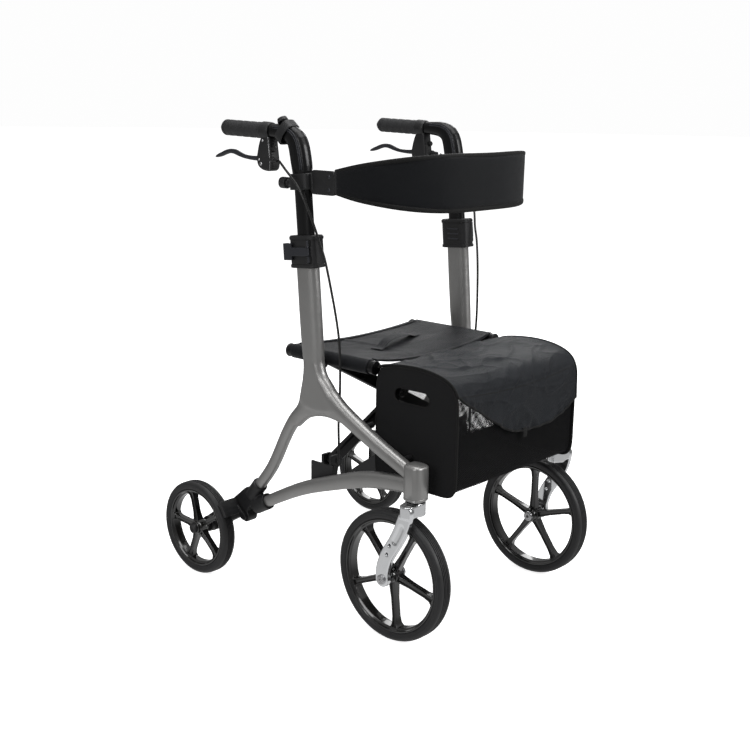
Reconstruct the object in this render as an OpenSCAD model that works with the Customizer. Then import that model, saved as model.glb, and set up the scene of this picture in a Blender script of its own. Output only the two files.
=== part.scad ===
// Folding four-wheeled walker with a sling seat, a back strap and a bag in front.
// X runs across, -Y is the front, +Z is up, and the floor is z = 0.
// The user stands behind it and faces -Y, so the right side is -X.

/* [Wheels] */
// Distance between the front and rear axles
wheelbase = 511; // [480:1:540]
// Radius of a front wheel over its tyre
front_wheel_r = 127; // [115:1:130]
// Width of a front tyre
front_tyre_w = 34; // [28:1:36]
// Radius of a rear wheel over its tyre
rear_wheel_r = 100; // [90:1:110]
// Width of a rear tyre
rear_tyre_w = 30; // [26:1:34]
// Depth of a tyre from tread to rim
tyre_depth = 17; // [12:1:20]
// Radius of the wheel axles
axle_r = 5; // [4:0.5:6]
// Distance that a front axle trails behind its swivel
caster_trail = 49; // [40:1:55]

/* [Side frames] */
// Distance from the middle to the plane of each side frame
frame_half_w = 229; // [220:1:250]
// Height of the top of the upright tube
upright_top = 690; // [660:5:720]
// Width of the upright tube, front to back
upright_w = 50; // [46:1:56]
// Thickness of the upright tube, side to side
upright_t = 30; // [28:1:34]
// Height at which the front and rear legs part
knee_h = 500; // [480:1:520]
// Distance of the knee in front of the rear axle
knee_setback = 299; // [280:1:315]
// Backward lean of the uprights in degrees
lean = 5.1; // [2:0.1:7]
// Thickness of the rear leg
rear_leg_d = 24; // [20:1:28]
// Thickness of the front leg
front_leg_d = 30; // [26:1:34]
// Thickness of the lower bar
lower_bar_d = 30; // [26:1:34]
// Height of the head tube's lower end over the top of the front wheel
head_over_wheel = 32; // [30:1:46]
// Length of the head tube
head_len = 66; // [60:1:80]
// Outer radius of the head tube
head_r = 20; // [18:0.5:24]

/* [Fold and seat] */
// Distance from the middle to each lower fold pivot
pivot_half_w = 196; // [190:1:205]
// Height of the lower fold pivots
pivot_h = 302; // [295:1:315]
// Distance from the middle to each seat rail
rail_half_w = 187; // [180:1:192]
// Height of the seat rails
rail_h = 502; // [480:1:520]
// Radius of a seat rail
rail_r = 12.5; // [10:0.5:13]
// Length of a seat rail
rail_len = 226; // [200:1:240]
// Width of a cross bar
bar_w = 26; // [22:1:30]
// Thickness of a cross bar, front to back
bar_t = 14; // [10:1:16]
// Thickness of the seat fabric
seat_t = 4; // [3:0.5:6]

/* [Handles] */
// Height of the middle of the handgrips
grip_h = 932; // [900:1:950]
// Diameter of a handgrip
grip_d = 31; // [28:1:36]
// Length of a handgrip
grip_len = 124; // [110:1:130]
// Width of the sliding post, front to back
post_w = 38; // [34:1:40]
// Thickness of the sliding post, side to side
post_t = 22; // [18:1:24]
// Height of the back strap where it is tallest
strap_h = 105; // [80:1:120]
// Distance that the back strap bows forward of its brackets
strap_bow = 176; // [140:1:200]

/* [Bag] */
// Distance from the middle to the outer face of a bag side
bag_half_w = 192; // [180:1:196]
// Height of the bag's floor over the top of the front wheels
bag_over_wheels = 36; // [32:1:60]
// Height of the bag's sides
bag_h = 218; // [190:1:225]
// Depth of the bag, front to back
bag_depth = 194; // [160:1:200]
// Thickness of a bag side
bag_side_t = 5; // [4:0.5:6]

/* [Hidden] */
$fn = 48;
run = 0.05;                 // running clearance of a shaft, on the radius
gap = 0.3;                  // clearance between soft or sliding pieces
front_axle_y = (front_wheel_r - rear_wheel_r - wheelbase) / 2;
rear_axle_y = front_axle_y + wheelbase;
head_y = front_axle_y - caster_trail;
head_bottom = 2 * front_wheel_r + head_over_wheel;
head_top = head_bottom + head_len;
knee_y = rear_axle_y - knee_setback;
rear_wheel_x = frame_half_w + 44;
slot_clear = 8;             // side gap between a wheel and its fork or bracket
bar_a_y = -50;              // middle of cross bar A, front to back
bar_b_y = -28;              // middle of cross bar B
rail_mid_y = -37;
rail_rise = (rail_h - pivot_h) / (rail_half_w + pivot_half_w);
cross_h = pivot_h + rail_rise * pivot_half_w;
clamp_bottom = upright_top - 7;
clamp_h = 60;
post_bottom = clamp_bottom - 125;
neck_h = grip_h - 62;
bag_back = rail_mid_y - rail_len / 2 - 8;
bag_front = bag_back - bag_depth;
bag_bottom = 2 * front_wheel_r + bag_over_wheels;
bag_top = bag_bottom + bag_h;
bag_corner = 24;
cloth = 4;                  // thickness of the bag's fabric walls

// ---- shapes ----

function mix(a, b, f) = a + (b - a) * f;
function unit(v) = v / norm(v);
function place(p) = [p.x, p.y, p.z];
function signed_power(v, e) = sign(v) * pow(abs(v), e);
function squarish(a, e) = [signed_power(cos(a), e), signed_power(sin(a), e)];

// A point of the smooth curve through b and c, at share t of the way
function curve_point(a, b, c, d, t) = 0.5 * (2 * b + (c - a) * t
    + (2 * a - 5 * b + 4 * c - d) * t * t + (3 * b - a - 3 * c + d) * t * t * t);
function smooth(p, steps) = let(last = len(p) - 1) concat(
    [for (i = [0:last - 1], j = [0:steps - 1])
        curve_point(p[max(i - 1, 0)], p[i], p[i + 1], p[min(i + 2, last)], j / steps)],
    [p[last]]);
function heading(p, i) =
    unit(place(p[min(i + 1, len(p) - 1)]) - place(p[max(i - 1, 0)]));

// A tube along a route of [x, y, z, width, thickness]; the thickness lies along across
module sweep(route, sides = 16, power = 2.6, across = [1, 0, 0]) {
    rings = len(route);
    points = [for (i = [0:rings - 1])
        let(t = heading(route, i), u = unit(cross(t, across)), v = cross(u, t))
        for (k = [0:sides - 1])
            let(s = squarish(360 * k / sides, 2 / power))
            place(route[i]) + u * s.x * route[i][3] / 2 + v * s.y * route[i][4] / 2];
    walls = [for (i = [0:rings - 2], k = [0:sides - 1])
        let(a = i * sides + k, b = i * sides + (k + 1) % sides)
        for (f = [[a, b, b + sides], [a, b + sides, a + sides]]) f];
    start = [for (k = [sides - 1:-1:0]) k];
    end = [for (k = [0:sides - 1]) (rings - 1) * sides + k];
    polyhedron(points, concat(walls, [start], [end]), convexity = 6);
}

module oval(w, t, power = 2.6) {
    polygon([for (k = [0:31])
        let(s = squarish(360 * k / 32, 2 / power)) [s.x * t / 2, s.y * w / 2]]);
}

// A flat band along a route of [y, z, width], with round ends
module band(route) {
    n = len(route);
    flat = [for (p = route) [p[0], p[1], 0]];
    side = [for (i = [0:n - 1]) cross(heading(flat, i), [0, 0, 1])];
    edge = [for (i = [0:n - 1])
        [side[i].x, side[i].y] * route[i][2] / 2];
    polygon(concat(
        [for (i = [0:n - 1]) [route[i][0], route[i][1]] + edge[i]],
        [for (i = [n - 1:-1:0]) [route[i][0], route[i][1]] - edge[i]]));
    for (i = [0, n - 1])
        translate([route[i][0], route[i][1]]) circle(d = route[i][2]);
}

// Extrudes a shape drawn in (y, z) along X, from x0 to x1
module along_x(x0, x1) {
    translate([x0, 0, 0]) rotate([90, 0, 90]) linear_extrude(x1 - x0) children();
}

// Extrudes a shape drawn in (x, z) along Y, from y0 to y1
module along_y(y0, y1) {
    translate([0, y1, 0]) rotate([90, 0, 0]) linear_extrude(y1 - y0) children();
}

module pin_x(y, z, r, x0, x1) {
    translate([x0, y, z]) rotate([0, 90, 0]) cylinder(r = r, h = x1 - x0);
}

module pin_y(x, z, r, y0, y1) {
    translate([x, y0, z]) rotate([-90, 0, 0]) cylinder(r = r, h = y1 - y0);
}

module round_box(y0, z0, w, h, r) {
    x = [y0 + r, y0 + w - r];
    z = [z0 + r, z0 + h - r];
    translate([x[0], z0]) square([w - 2 * r, h]);
    translate([y0, z[0]]) square([w, h - 2 * r]);
    for (a = x, b = z)
        translate([a, b]) circle(r = r);
}

module left_of_right() {
    mirror([1, 0, 0]) children();
}

function upright_y(h) = knee_y + (h - knee_h) * tan(lean);

// Stands children on the upright's axis at height h, tilted with it
module on_upright(h) {
    translate([-frame_half_w, upright_y(h), h]) rotate([-lean, 0, 0]) children();
}

// ---- side frame ----

// Where a leg's point lies between the knee and its far end
function leg_point(far, share_y, share_z, w, t) = [-frame_half_w,
    mix(knee_y, far.x, share_y), mix(knee_h, far.y, share_z), w, t];

rear_foot = [rear_axle_y - 132, rear_wheel_r + 103];
head_mid = [head_y, head_top - 24];
upright_end = [-frame_half_w, upright_y(upright_top), upright_top, upright_w, upright_t];
rear_leg_route = smooth([
    upright_end,
    leg_point(rear_foot, 0, 0, upright_w - 3, upright_t - 1),
    leg_point(rear_foot, 0.03, 0.17, upright_w - 4, upright_t - 2),
    leg_point(rear_foot, 0.13, 0.32, upright_w - 12, upright_t - 3),
    leg_point(rear_foot, 0.3, 0.41, rear_leg_d + 4, rear_leg_d),
    leg_point(rear_foot, 0.44, 0.52, rear_leg_d, rear_leg_d - 1),
    leg_point(rear_foot, 0.7, 0.79, rear_leg_d, rear_leg_d - 2),
    leg_point(rear_foot, 1, 1, rear_leg_d, rear_leg_d - 2)], 4);
front_leg_route = smooth([
    upright_end,
    leg_point(head_mid, 0, 0, upright_w - 3, upright_t - 1),
    leg_point(head_mid, 0.115, 0.308, upright_w - 2, upright_t - 2),
    leg_point(head_mid, 0.222, 0.436, upright_w - 8, upright_t - 2),
    leg_point(head_mid, 0.337, 0.529, front_leg_d + 4, upright_t - 3),
    leg_point(head_mid, 0.62, 0.744, front_leg_d, upright_t - 4),
    leg_point(head_mid, 1, 1, front_leg_d, upright_t - 5)], 4);
arch_offsets = [[50, -128], [20, -103], [-16, -91], [-50, -89], [-85, -94]];
arch_route = smooth([for (p = arch_offsets)
    [-frame_half_w, knee_y + p.x, knee_h + p.y, 26, rear_leg_d]], 3);
pocket_bottom = post_bottom - 75;

module side_frame() {
    color("dimgray") difference() {
        union() {
            sweep(rear_leg_route);
            sweep(front_leg_route);
            sweep(arch_route);
        }
        on_upright(pocket_bottom) linear_extrude(upright_top)
            oval(post_w + 2 * gap, post_t + 2 * gap);
        inside_head_tube();
    }
}

// The space that the head tube's wall and its stem fill
module inside_head_tube() {
    translate([-frame_half_w, head_y, 0]) cylinder(r = head_r - 1, h = 2 * head_top);
}

bar_foot = [rear_axle_y - 151, rear_wheel_r + 78];
bar_head = [head_y + 3, head_bottom + 26];
function bar_point(share_y, share_z, w) = [-frame_half_w,
    mix(bar_foot.x, bar_head.x, share_y), mix(bar_foot.y, bar_head.y, share_z),
    w, upright_t - 6];
lower_bar_route = smooth([
    bar_point(0, 0, lower_bar_d - 6), bar_point(0.26, 0.41, lower_bar_d - 3),
    bar_point(0.47, 0.657, lower_bar_d), bar_point(0.73, 0.9, lower_bar_d + 3),
    bar_point(1, 1, lower_bar_d + 2)], 4);

module lower_bar() {
    color("dimgray") difference() {
        sweep(lower_bar_route);
        inside_head_tube();
    }
}

stem_r = 10;

module head_tube() {
    color("dimgray") translate([-frame_half_w, head_y, head_bottom]) difference() {
        union() {
            cylinder(r = head_r, h = head_len);
            translate([0, 0, head_len]) cylinder(r1 = head_r - 1, r2 = head_r - 5, h = 4);
        }
        translate([0, 0, -1]) cylinder(r = stem_r + run, h = head_len - 8);
    }
}

// ---- rear bracket, axle and brake shoe ----

bracket_half_t = upright_t / 2 - 3;
shoe_angle = 145;           // place of the brake pad on the rear tyre, from +Y
shoe_travel_gap = 2.7;      // gap between the pad and the tyre at rest
shoe_pivot = [rear_axle_y - 109, rear_wheel_r + 42];
shoe_pin_r = 4;
hub_in = rear_wheel_x - rear_tyre_w / 2 - slot_clear + 2;
leg_angle = atan2(rear_foot.y - rear_leg_route[24].z, rear_foot.x - rear_leg_route[24].y);
bar_angle = atan2(bar_foot.y - lower_bar_route[2].z, bar_foot.x - lower_bar_route[2].y);

module socket(foot, angle, r) {
    translate([-frame_half_w, foot.x, foot.y]) rotate([angle - 90, 0, 0])
        translate([0, 0, -20]) cylinder(r = r, h = 40);
}

module rear_bracket() {
    color("#1b1b1d") difference() {
        union() {
            socket(rear_foot, leg_angle, rear_leg_d / 2 + 4);
            socket(bar_foot, bar_angle, rear_leg_d / 2 + 5);
            along_x(-frame_half_w - bracket_half_t, -frame_half_w + bracket_half_t) {
                band([[rear_foot.x + 12, rear_foot.y - 14, 38],
                    [rear_axle_y - 84, rear_wheel_r + 56, 42],
                    [rear_axle_y - 40, rear_wheel_r + 28, 38],
                    [rear_axle_y, rear_wheel_r, 36]]);
                band([[rear_axle_y - 92, rear_wheel_r + 60, 38],
                    [shoe_pivot.x, shoe_pivot.y, 24]]);
            }
            pin_x(rear_axle_y, rear_wheel_r, 17, -hub_in, -frame_half_w);
        }
        pin_x(rear_axle_y, rear_wheel_r, axle_r + run, -hub_in - 1, -frame_half_w + 20);
        pin_x(shoe_pivot.x, shoe_pivot.y, shoe_pin_r + run,
            -frame_half_w - bracket_half_t - 1, -frame_half_w + 4);
    }
}

module rear_axle() {
    cap_x = rear_wheel_x + rear_tyre_w / 2 + 1;
    color("silver") {
        pin_x(rear_axle_y, rear_wheel_r, axle_r, -cap_x, -frame_half_w + bracket_half_t + 3);
        pin_x(rear_axle_y, rear_wheel_r, 11, -cap_x - 5, -cap_x);
        pin_x(rear_axle_y, rear_wheel_r, 9, -frame_half_w + bracket_half_t,
            -frame_half_w + bracket_half_t + 6);
    }
}

module brake_shoe() {
    face_x = frame_half_w + bracket_half_t + 1;
    pad_r = rear_wheel_r + shoe_travel_gap;
    pad_mid = [rear_axle_y + (pad_r + 5) * cos(shoe_angle),
        rear_wheel_r + (pad_r + 5) * sin(shoe_angle)];
    color("#202022") {
        along_x(-rear_wheel_x - rear_tyre_w / 2 + 3, -face_x)
            translate([rear_axle_y, rear_wheel_r]) intersection() {
                difference() {
                    circle(r = pad_r + 9, $fn = 96);
                    circle(r = pad_r, $fn = 96);
                }
                polygon([[0, 0], for (a = [-9, 9])
                    2 * rear_wheel_r * [cos(shoe_angle + a), sin(shoe_angle + a)]]);
            }
        along_x(-face_x - 5, -face_x) band([
            [pad_mid.x, pad_mid.y, 8], [shoe_pivot.x, shoe_pivot.y, 14]]);
        pin_x(shoe_pivot.x, shoe_pivot.y, shoe_pin_r, -face_x, -frame_half_w + 3);
    }
}

// ---- wheels ----

module tyre(x, y, r, w) {
    rim = r - tyre_depth;
    color("#3a3a3c") translate([x, y, r]) rotate([0, 90, 0]) rotate_extrude($fn = 96)
        polygon([[rim, 3 - w / 2], [rim + 5, 1 - w / 2], [r - 6, -w / 2],
            [r - 2, 6 - w / 2], [r, 11 - w / 2], [r, w / 2 - 11], [r - 2, w / 2 - 6],
            [r - 6, w / 2], [rim + 5, w / 2 - 1], [rim, w / 2 - 3]]);
}

// How far each wheel has rolled, in degrees: right front and rear, left front and rear
wheel_turns = [30, 58, 0, 0];

module wheel(x, y, r, w, turn) {
    rim = r - tyre_depth;
    rim_in = rim - 9;
    hub_r = 15;
    color("#141416") translate([x, y, r]) difference() {
        union() {
            rotate([0, 90, 0]) rotate_extrude($fn = 96)
                polygon([[rim, 4 - w / 2], [rim, w / 2 - 4], [rim - 4, w / 2 - 4],
                    [rim_in, 7], [rim_in, -7], [rim - 4, 4 - w / 2]]);
            for (k = [0:4])
                rotate([72 * k + turn, 0, 0]) along_x(-6, 6)
                    band([[0, hub_r - 4, 16], [0, mix(hub_r, rim_in, 0.5), 10],
                        [0, rim_in - 8, 13], [0, rim_in + 1, 1]]);
            pin_x(0, 0, hub_r, -w / 2, w / 2);
        }
        pin_x(0, 0, axle_r + run, -w, w);
    }
}

// ---- front caster ----

crown_top = head_bottom - 3;
crown_bottom = 2 * front_wheel_r + 4;
fork_in = frame_half_w + front_tyre_w / 2 + slot_clear;
fork_t = 10;
function fork_point(share_y, share_z, w) = [
    mix(front_axle_y, head_y, share_y), mix(front_wheel_r, crown_top - 13, share_z), w];
fork_route = smooth([fork_point(0, 0, 30), fork_point(0, 0.14, 29),
    fork_point(0.2, 0.34, 28), fork_point(0.52, 0.52, 28), fork_point(0.78, 0.68, 29),
    fork_point(0.98, 0.84, 30), fork_point(1.12, 1, 26)], 3);

module caster_fork() {
    color("#d6d8da") difference() {
        union() {
            translate([-frame_half_w, head_y, crown_bottom])
                cylinder(r = head_r - 1, h = crown_top - crown_bottom);
            translate([-frame_half_w, head_y, crown_top - 1])
                cylinder(r = stem_r, h = head_len - 10);
            hull() for (p = [[frame_half_w, head_y, 17], [fork_in + 1, head_y - 3, 14]])
                translate([-p.x, p.y, crown_bottom + 1])
                    cylinder(r = p.z, h = crown_top - crown_bottom - 2, $fn = 32);
            along_x(-fork_in - fork_t, -fork_in) band(fork_route);
            pin_x(front_axle_y, front_wheel_r, 10, -fork_in, -fork_in + slot_clear - 1);
        }
        pin_x(front_axle_y, front_wheel_r, axle_r + run, -fork_in - 20, -frame_half_w);
        along_x(-fork_in - fork_t - 1, -fork_in - fork_t + 1.5)
            band([for (i = [10:14]) [fork_route[i][0], fork_route[i][1], 12]]);
        for (s = [0.24, 0.36])
            pin_x(mix(front_axle_y, head_y, s), mix(front_wheel_r, crown_top, s + 0.1), 3.2,
                -fork_in - 20, -fork_in + 1);
    }
}

module caster_bearing() {
    color("#2a2a2c") translate([-frame_half_w, head_y, crown_top + 0.1]) difference() {
        cylinder(r = head_r - 3, h = head_bottom - crown_top - 0.2);
        translate([0, 0, -1]) cylinder(r = stem_r + run, h = 8);
    }
}

module front_axle() {
    inner = frame_half_w - front_tyre_w / 2 - 1;
    color("silver") {
        pin_x(front_axle_y, front_wheel_r, axle_r, -fork_in - fork_t, -inner);
        pin_x(front_axle_y, front_wheel_r, 10, -inner, -inner + 6);
        pin_x(front_axle_y, front_wheel_r, 9, -fork_in - fork_t - 4, -fork_in - fork_t);
    }
}

// ---- height clamp and its lever ----

clamp_w = upright_w + 16;
clamp_half_t = upright_t / 2 + 3.5;

module height_clamp() {
    color("#1d1d1f") on_upright(clamp_bottom) difference() {
        linear_extrude(clamp_h) oval(clamp_w, 2 * clamp_half_t, 4);
        translate([0, 0, -1]) linear_extrude((upright_top - clamp_bottom) / cos(lean) + 1)
            oval(upright_w + 2 * run, upright_t + 2 * run);
        translate([0, 0, -1]) linear_extrude(clamp_h + 2)
            oval(post_w + 2 * gap, post_t + 2 * gap);
        for (z = [14, 46])
            translate([-clamp_half_t - 1, 7 - clamp_w / 2, z - 6])
                cube([5, 10, 12]);
    }
}

lock_t = 5;                 // thickness of the lock lever
lock_pin = [-clamp_half_t - 0.5 - lock_t / 2, 9.5 - clamp_w / 2];

module lock_lever() {
    outer = lock_pin.x - lock_t / 2;
    color("#2b2d30") on_upright(clamp_bottom) {
        translate([outer, lock_pin.y, 22]) cube([lock_t, clamp_w / 2 + 2 - lock_pin.y, 16]);
        translate([lock_pin.x, lock_pin.y, 22]) cylinder(r = lock_t / 2, h = 16);
        translate([outer, clamp_w / 2 + 1.5, 14]) cube([12, 6, 32]);
        translate([outer, clamp_w / 2 - 14, 14]) cube([lock_t, 16, 32]);
        translate([lock_pin.x, lock_pin.y, 9]) cylinder(r = 2.2, h = 42);
    }
}

// ---- fold ----

// Clevis on the lower bar's inner face that holds a cross bar's lower end
module pivot_bracket(bar_y) {
    base_x = frame_half_w - upright_t / 2 + 1;
    eye_r = bar_w / 2;
    color("#1b1b1d") difference() {
        union() {
            for (y = [bar_y - bar_t / 2 - 6.5, bar_y + bar_t / 2 + 0.5])
                along_y(y, y + 6) {
                    translate([-pivot_half_w, pivot_h]) circle(r = eye_r);
                    translate([-base_x, pivot_h - 45])
                        square([base_x - pivot_half_w, 45 + eye_r]);
                }
            translate([-base_x, bar_y - 18, pivot_h - 48])
                cube([base_x - pivot_half_w - eye_r - 1, 60, 42]);
        }
        pin_y(-pivot_half_w, pivot_h, axle_r + run, bar_y - 30, bar_y + 30);
    }
    color("silver")
        pin_y(-pivot_half_w, pivot_h, axle_r, bar_y - bar_t / 2 - 9, bar_y + bar_t / 2 + 9);
}

// Cross bar from the right lower pivot up to the left seat rail
module cross_bar(bar_y) {
    color("#19191b") difference() {
        along_y(bar_y - bar_t / 2, bar_y + bar_t / 2) {
            band([[-pivot_half_w, pivot_h, bar_w - 1], [rail_half_w, rail_h, bar_w - 1]]);
        }
        pin_y(-pivot_half_w, pivot_h, axle_r + run, bar_y - bar_t, bar_y + bar_t);
        pin_y(0, cross_h, axle_r + run, bar_y - bar_t, bar_y + bar_t);
    }
}

module cross_bar_a() {
    cross_bar(bar_a_y);
}

module cross_bar_b() {
    left_of_right() cross_bar(bar_b_y);
}

module cross_bolt() {
    front = bar_a_y - bar_t / 2;
    back = bar_b_y + bar_t / 2;
    color("silver") {
        pin_y(0, cross_h, axle_r, front - 5, back + 5);
        pin_y(0, cross_h, 9, front - 5, front);
        pin_y(0, cross_h, 9, back + 0.2, back + 5);
        pin_y(0, cross_h, 12, front + bar_t, back - bar_t - 0.2);
    }
}

module seat_rail() {
    y0 = rail_mid_y - rail_len / 2;
    color("#19191b") {
        pin_y(-rail_half_w, rail_h, rail_r, y0, y0 + rail_len);
        for (y = [y0 - 3, y0 + rail_len])
            pin_y(-rail_half_w, rail_h, rail_r + 1, y, y + 3);
    }
}

sling_len = rail_len - 22;

sling_sag = 12;
sling_flat = 60;            // half width of the sling's flat middle

module seat_sling() {
    edge = rail_half_w + 6;
    slope = rail_half_w - rail_r - 2 - sling_flat;
    function under(x) = rail_h + rail_r + gap
        - sling_sag * (1 - pow(min(1, max(0, abs(x) - sling_flat) / slope), 2));
    x = concat([-edge], [for (i = [-6:6])
        sign(i) * (sling_flat + slope * (abs(i) - 1) / 5)], [edge]);
    color("#1a1a1c")
        along_y(rail_mid_y - sling_len / 2, rail_mid_y + sling_len / 2)
            polygon(concat([for (v = x) [v, under(v) + seat_t]],
                [for (i = [len(x) - 1:-1:0]) [x[i], under(x[i])]]));
}

// Saddle that stops the seat rail, and the pegs that carry the bag's side
module supports() {
    inner = frame_half_w - upright_t / 2 + 2;
    rest_h = rail_h - rail_r - 1;
    saddle_y = knee_y + 12;
    color("#1b1b1d") {
        along_y(saddle_y, saddle_y + 14) polygon([
            [-inner, rest_h], [-rail_half_w + 8, rest_h],
            [-rail_half_w + 8, rest_h - 6], [-inner, rest_h - 26]]);
        for (i = [18, 22])
            pin_x(front_leg_route[i].y, front_leg_route[i].z, 6, -inner, -bag_half_w);
    }
}

// ---- bag ----

slot_len = 85;              // length of the hand slot in a bag side
slot_h = 27;

module bag_panel() {
    slot_y = mix(bag_back, bag_front, 0.45) - slot_len / 2;
    slot_z = bag_top - 45 - slot_h / 2;
    color("#1c1c1e") along_x(-bag_half_w, -bag_half_w + bag_side_t) difference() {
        round_box(bag_front, bag_bottom, bag_depth, bag_h, bag_corner);
        round_box(slot_y, slot_z, slot_len, slot_h, slot_h / 2 - 0.1);
    }
}

module bag_body() {
    inside = bag_half_w - bag_side_t - gap;
    wall_z = bag_bottom + bag_corner;
    color("#141415") along_x(-inside, inside) {
        intersection() {
            difference() {
                round_box(bag_front, bag_bottom, bag_depth, bag_h, bag_corner);
                round_box(bag_front + cloth, bag_bottom + cloth,
                    bag_depth - 2 * cloth, bag_h, bag_corner - cloth);
            }
            translate([bag_front, bag_bottom]) square([bag_depth, bag_corner + 1]);
        }
        translate([bag_back - cloth, wall_z]) square([cloth, bag_h - bag_corner + 3 - gap]);
        translate([bag_front, wall_z]) square([cloth, bag_h - bag_corner - 20]);
    }
}

flap_drop = 124;            // how far the flap hangs over the bag's front
flap_lift = 66;             // how much higher its hem is at the sides
flap_half_w = bag_half_w - 6;
flap_hinge = [bag_back - 3, bag_top + 3 + cloth / 2];

module bag_flap() {
    hem = bag_top - flap_drop;
    front = bag_front - cloth - gap;
    x = [for (i = [-10:10]) flap_half_w * i / 10];
    color("#1a1a1c") {
        along_x(-flap_half_w, flap_half_w)
            translate([front, bag_top + 3]) square([flap_hinge.x - front, cloth]);
        pin_x(flap_hinge.x, flap_hinge.y, cloth / 2, -flap_half_w, flap_half_w);
        along_y(front, front + cloth) polygon(concat(
            [[flap_half_w, bag_top + 3], [-flap_half_w, bag_top + 3]],
            [for (v = x) [v, hem + flap_lift * pow(v / flap_half_w, 2)]]));
    }
}

// ---- handles ----

grip_start = knee_y + 133;
neck_route = smooth([
    [-frame_half_w, upright_y(neck_h - 14), neck_h - 14, post_w + 2, post_t + 6],
    [-frame_half_w, upright_y(neck_h) + 2, neck_h + 8, post_w + 5, post_t + 8],
    [-frame_half_w, upright_y(neck_h) + 12, grip_h - 18, post_w + 3, post_t + 8],
    [-frame_half_w, upright_y(neck_h) + 32, grip_h - 3, post_w - 4, post_t + 7],
    [-frame_half_w, grip_start - 35, grip_h, 28, 27],
    [-frame_half_w, grip_start, grip_h, 25, 25]], 3);
grip_tilt = 1.5;

module along_grip(from, to, r) {
    translate([-frame_half_w, grip_start, grip_h]) rotate([grip_tilt - 90, 0, 0])
        translate([0, 0, from]) cylinder(r = r, h = to - from);
}

module handle_tube() {
    color("#19191b") {
        on_upright(post_bottom) linear_extrude((neck_h - post_bottom) / cos(lean))
            oval(post_w, post_t);
        sweep(neck_route);
        along_grip(-2, grip_len - 8, grip_d / 2 - 4);
    }
}

module grip() {
    color("#232325") difference() {
        union() {
            along_grip(0, grip_len - 6, grip_d / 2);
            along_grip(-1, 5, grip_d / 2 + 1.5);
            translate([-frame_half_w, grip_start, grip_h]) rotate([grip_tilt - 90, 0, 0])
                translate([0, 0, grip_len - 6])
                    cylinder(r1 = grip_d / 2, r2 = grip_d / 2 - 4, h = 6);
        }
        along_grip(-10, grip_len - 8 + run, grip_d / 2 - 4 + run);
    }
}

lever_pivot = [knee_y + 130, grip_h - 48];
lever_t = 9;
housing_half_t = 13;

module brake_housing() {
    barrel_from = [-frame_half_w, lever_pivot.x - 36, lever_pivot.y - 3];
    color("#1a1a1c") difference() {
        union() {
            along_x(-frame_half_w - housing_half_t, -frame_half_w + housing_half_t) {
                translate([lever_pivot.x - 14, lever_pivot.y]) circle(r = 24);
                translate([lever_pivot.x + 2, lever_pivot.y]) circle(r = 17);
                translate([lever_pivot.x - 34, lever_pivot.y])
                    square([33, grip_h - 11 - lever_pivot.y]);
            }
            translate(barrel_from + [-11, 0, 0]) rotate([60, 0, 0]) cylinder(r = 4.5, h = 16);
        }
        translate([-frame_half_w - lever_t / 2 - 1, lever_pivot.x - 16, lever_pivot.y - 30])
            cube([lever_t + 2, 60, 46]);
    }
    color("silver") pin_x(lever_pivot.x, lever_pivot.y, 3,
        -frame_half_w - housing_half_t - 1, -frame_half_w + housing_half_t + 1);
}

module brake_lever() {
    color("#242426") difference() {
        along_x(-frame_half_w - lever_t / 2, -frame_half_w + lever_t / 2) {
            translate([lever_pivot.x, lever_pivot.y]) circle(r = 11);
            band(smooth([[lever_pivot.x, lever_pivot.y - 2, 16],
                [lever_pivot.x + 28, lever_pivot.y - 8, 10],
                [lever_pivot.x + 64, lever_pivot.y - 4, 8],
                [lever_pivot.x + 102, lever_pivot.y, 9],
                [lever_pivot.x + 140, lever_pivot.y - 6, 7]], 4));
        }
        pin_x(lever_pivot.x, lever_pivot.y, 3 + run, -frame_half_w - 20, -frame_half_w + 20);
    }
}

backrest_h = neck_h - 28;   // middle of the back strap's ends
plate_y = upright_y(backrest_h) - post_w / 2 - 13;
plate_len = 52;

module backrest_bracket() {
    color("#1b1b1d") {
        on_upright(backrest_h - 15) difference() {
            linear_extrude(30) oval(post_w + 12, post_t + 11, 4);
            translate([0, 0, -1]) linear_extrude(32) oval(post_w + 2 * run, post_t + 2 * run);
        }
        pin_y(-frame_half_w, backrest_h - 5, 6, plate_y + post_w + 18, plate_y + post_w + 34);
        pin_y(-frame_half_w, backrest_h - 5, 11, plate_y + post_w + 34, plate_y + post_w + 50);
        along_x(-frame_half_w - 2, -frame_half_w + 6) difference() {
            round_box(plate_y - plate_len, backrest_h - 22, plate_len + 10, 45, 8);
            for (z = [-12, 12])
                translate([plate_y - plate_len + 14, backrest_h + z]) circle(r = 3);
        }
    }
}

strap_start = plate_y - plate_len - 1.2;
function strap_side(x, share, h) = [x, strap_start - strap_bow * share,
    backrest_h + 2 + h * 0.03, 9, h];
strap_half = [strap_side(-frame_half_w + 2, 0, 45), strap_side(-frame_half_w + 12, 0.32, 70),
    strap_side(-frame_half_w + 52, 0.7, 94), strap_side(-frame_half_w + 118, 0.93, strap_h),
    strap_side(0, 1, strap_h)];

module backrest_strap() {
    route = smooth(concat(strap_half,
        [for (i = [3:-1:0]) [-strap_half[i].x, strap_half[i].y, strap_half[i].z,
            strap_half[i][3], strap_half[i][4]]]), 3);
    color("#161618") sweep(route, sides = 12, power = 8, across = [0, 0, 1]);
}

// Round stick clip with its strap over the right handle's bend
module stick_clip() {
    bend = neck_route[10];
    color("#202022") {
        translate([-frame_half_w, bend.y - 2, bend.z]) rotate([-50, 0, 0]) difference() {
            translate([0, 0, -9]) linear_extrude(18) oval(post_w + 10, post_t + 15, 3);
            translate([0, 0, -10]) linear_extrude(20) oval(post_w + 3, post_t + 8.5, 2.6);
        }
        translate([-frame_half_w, bend.y + 8, bend.z + 19]) rotate([-30, 0, 0])
            cylinder(r1 = 11, r2 = 9, h = 8);
    }
}

// ---- brake cable ----

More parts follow.
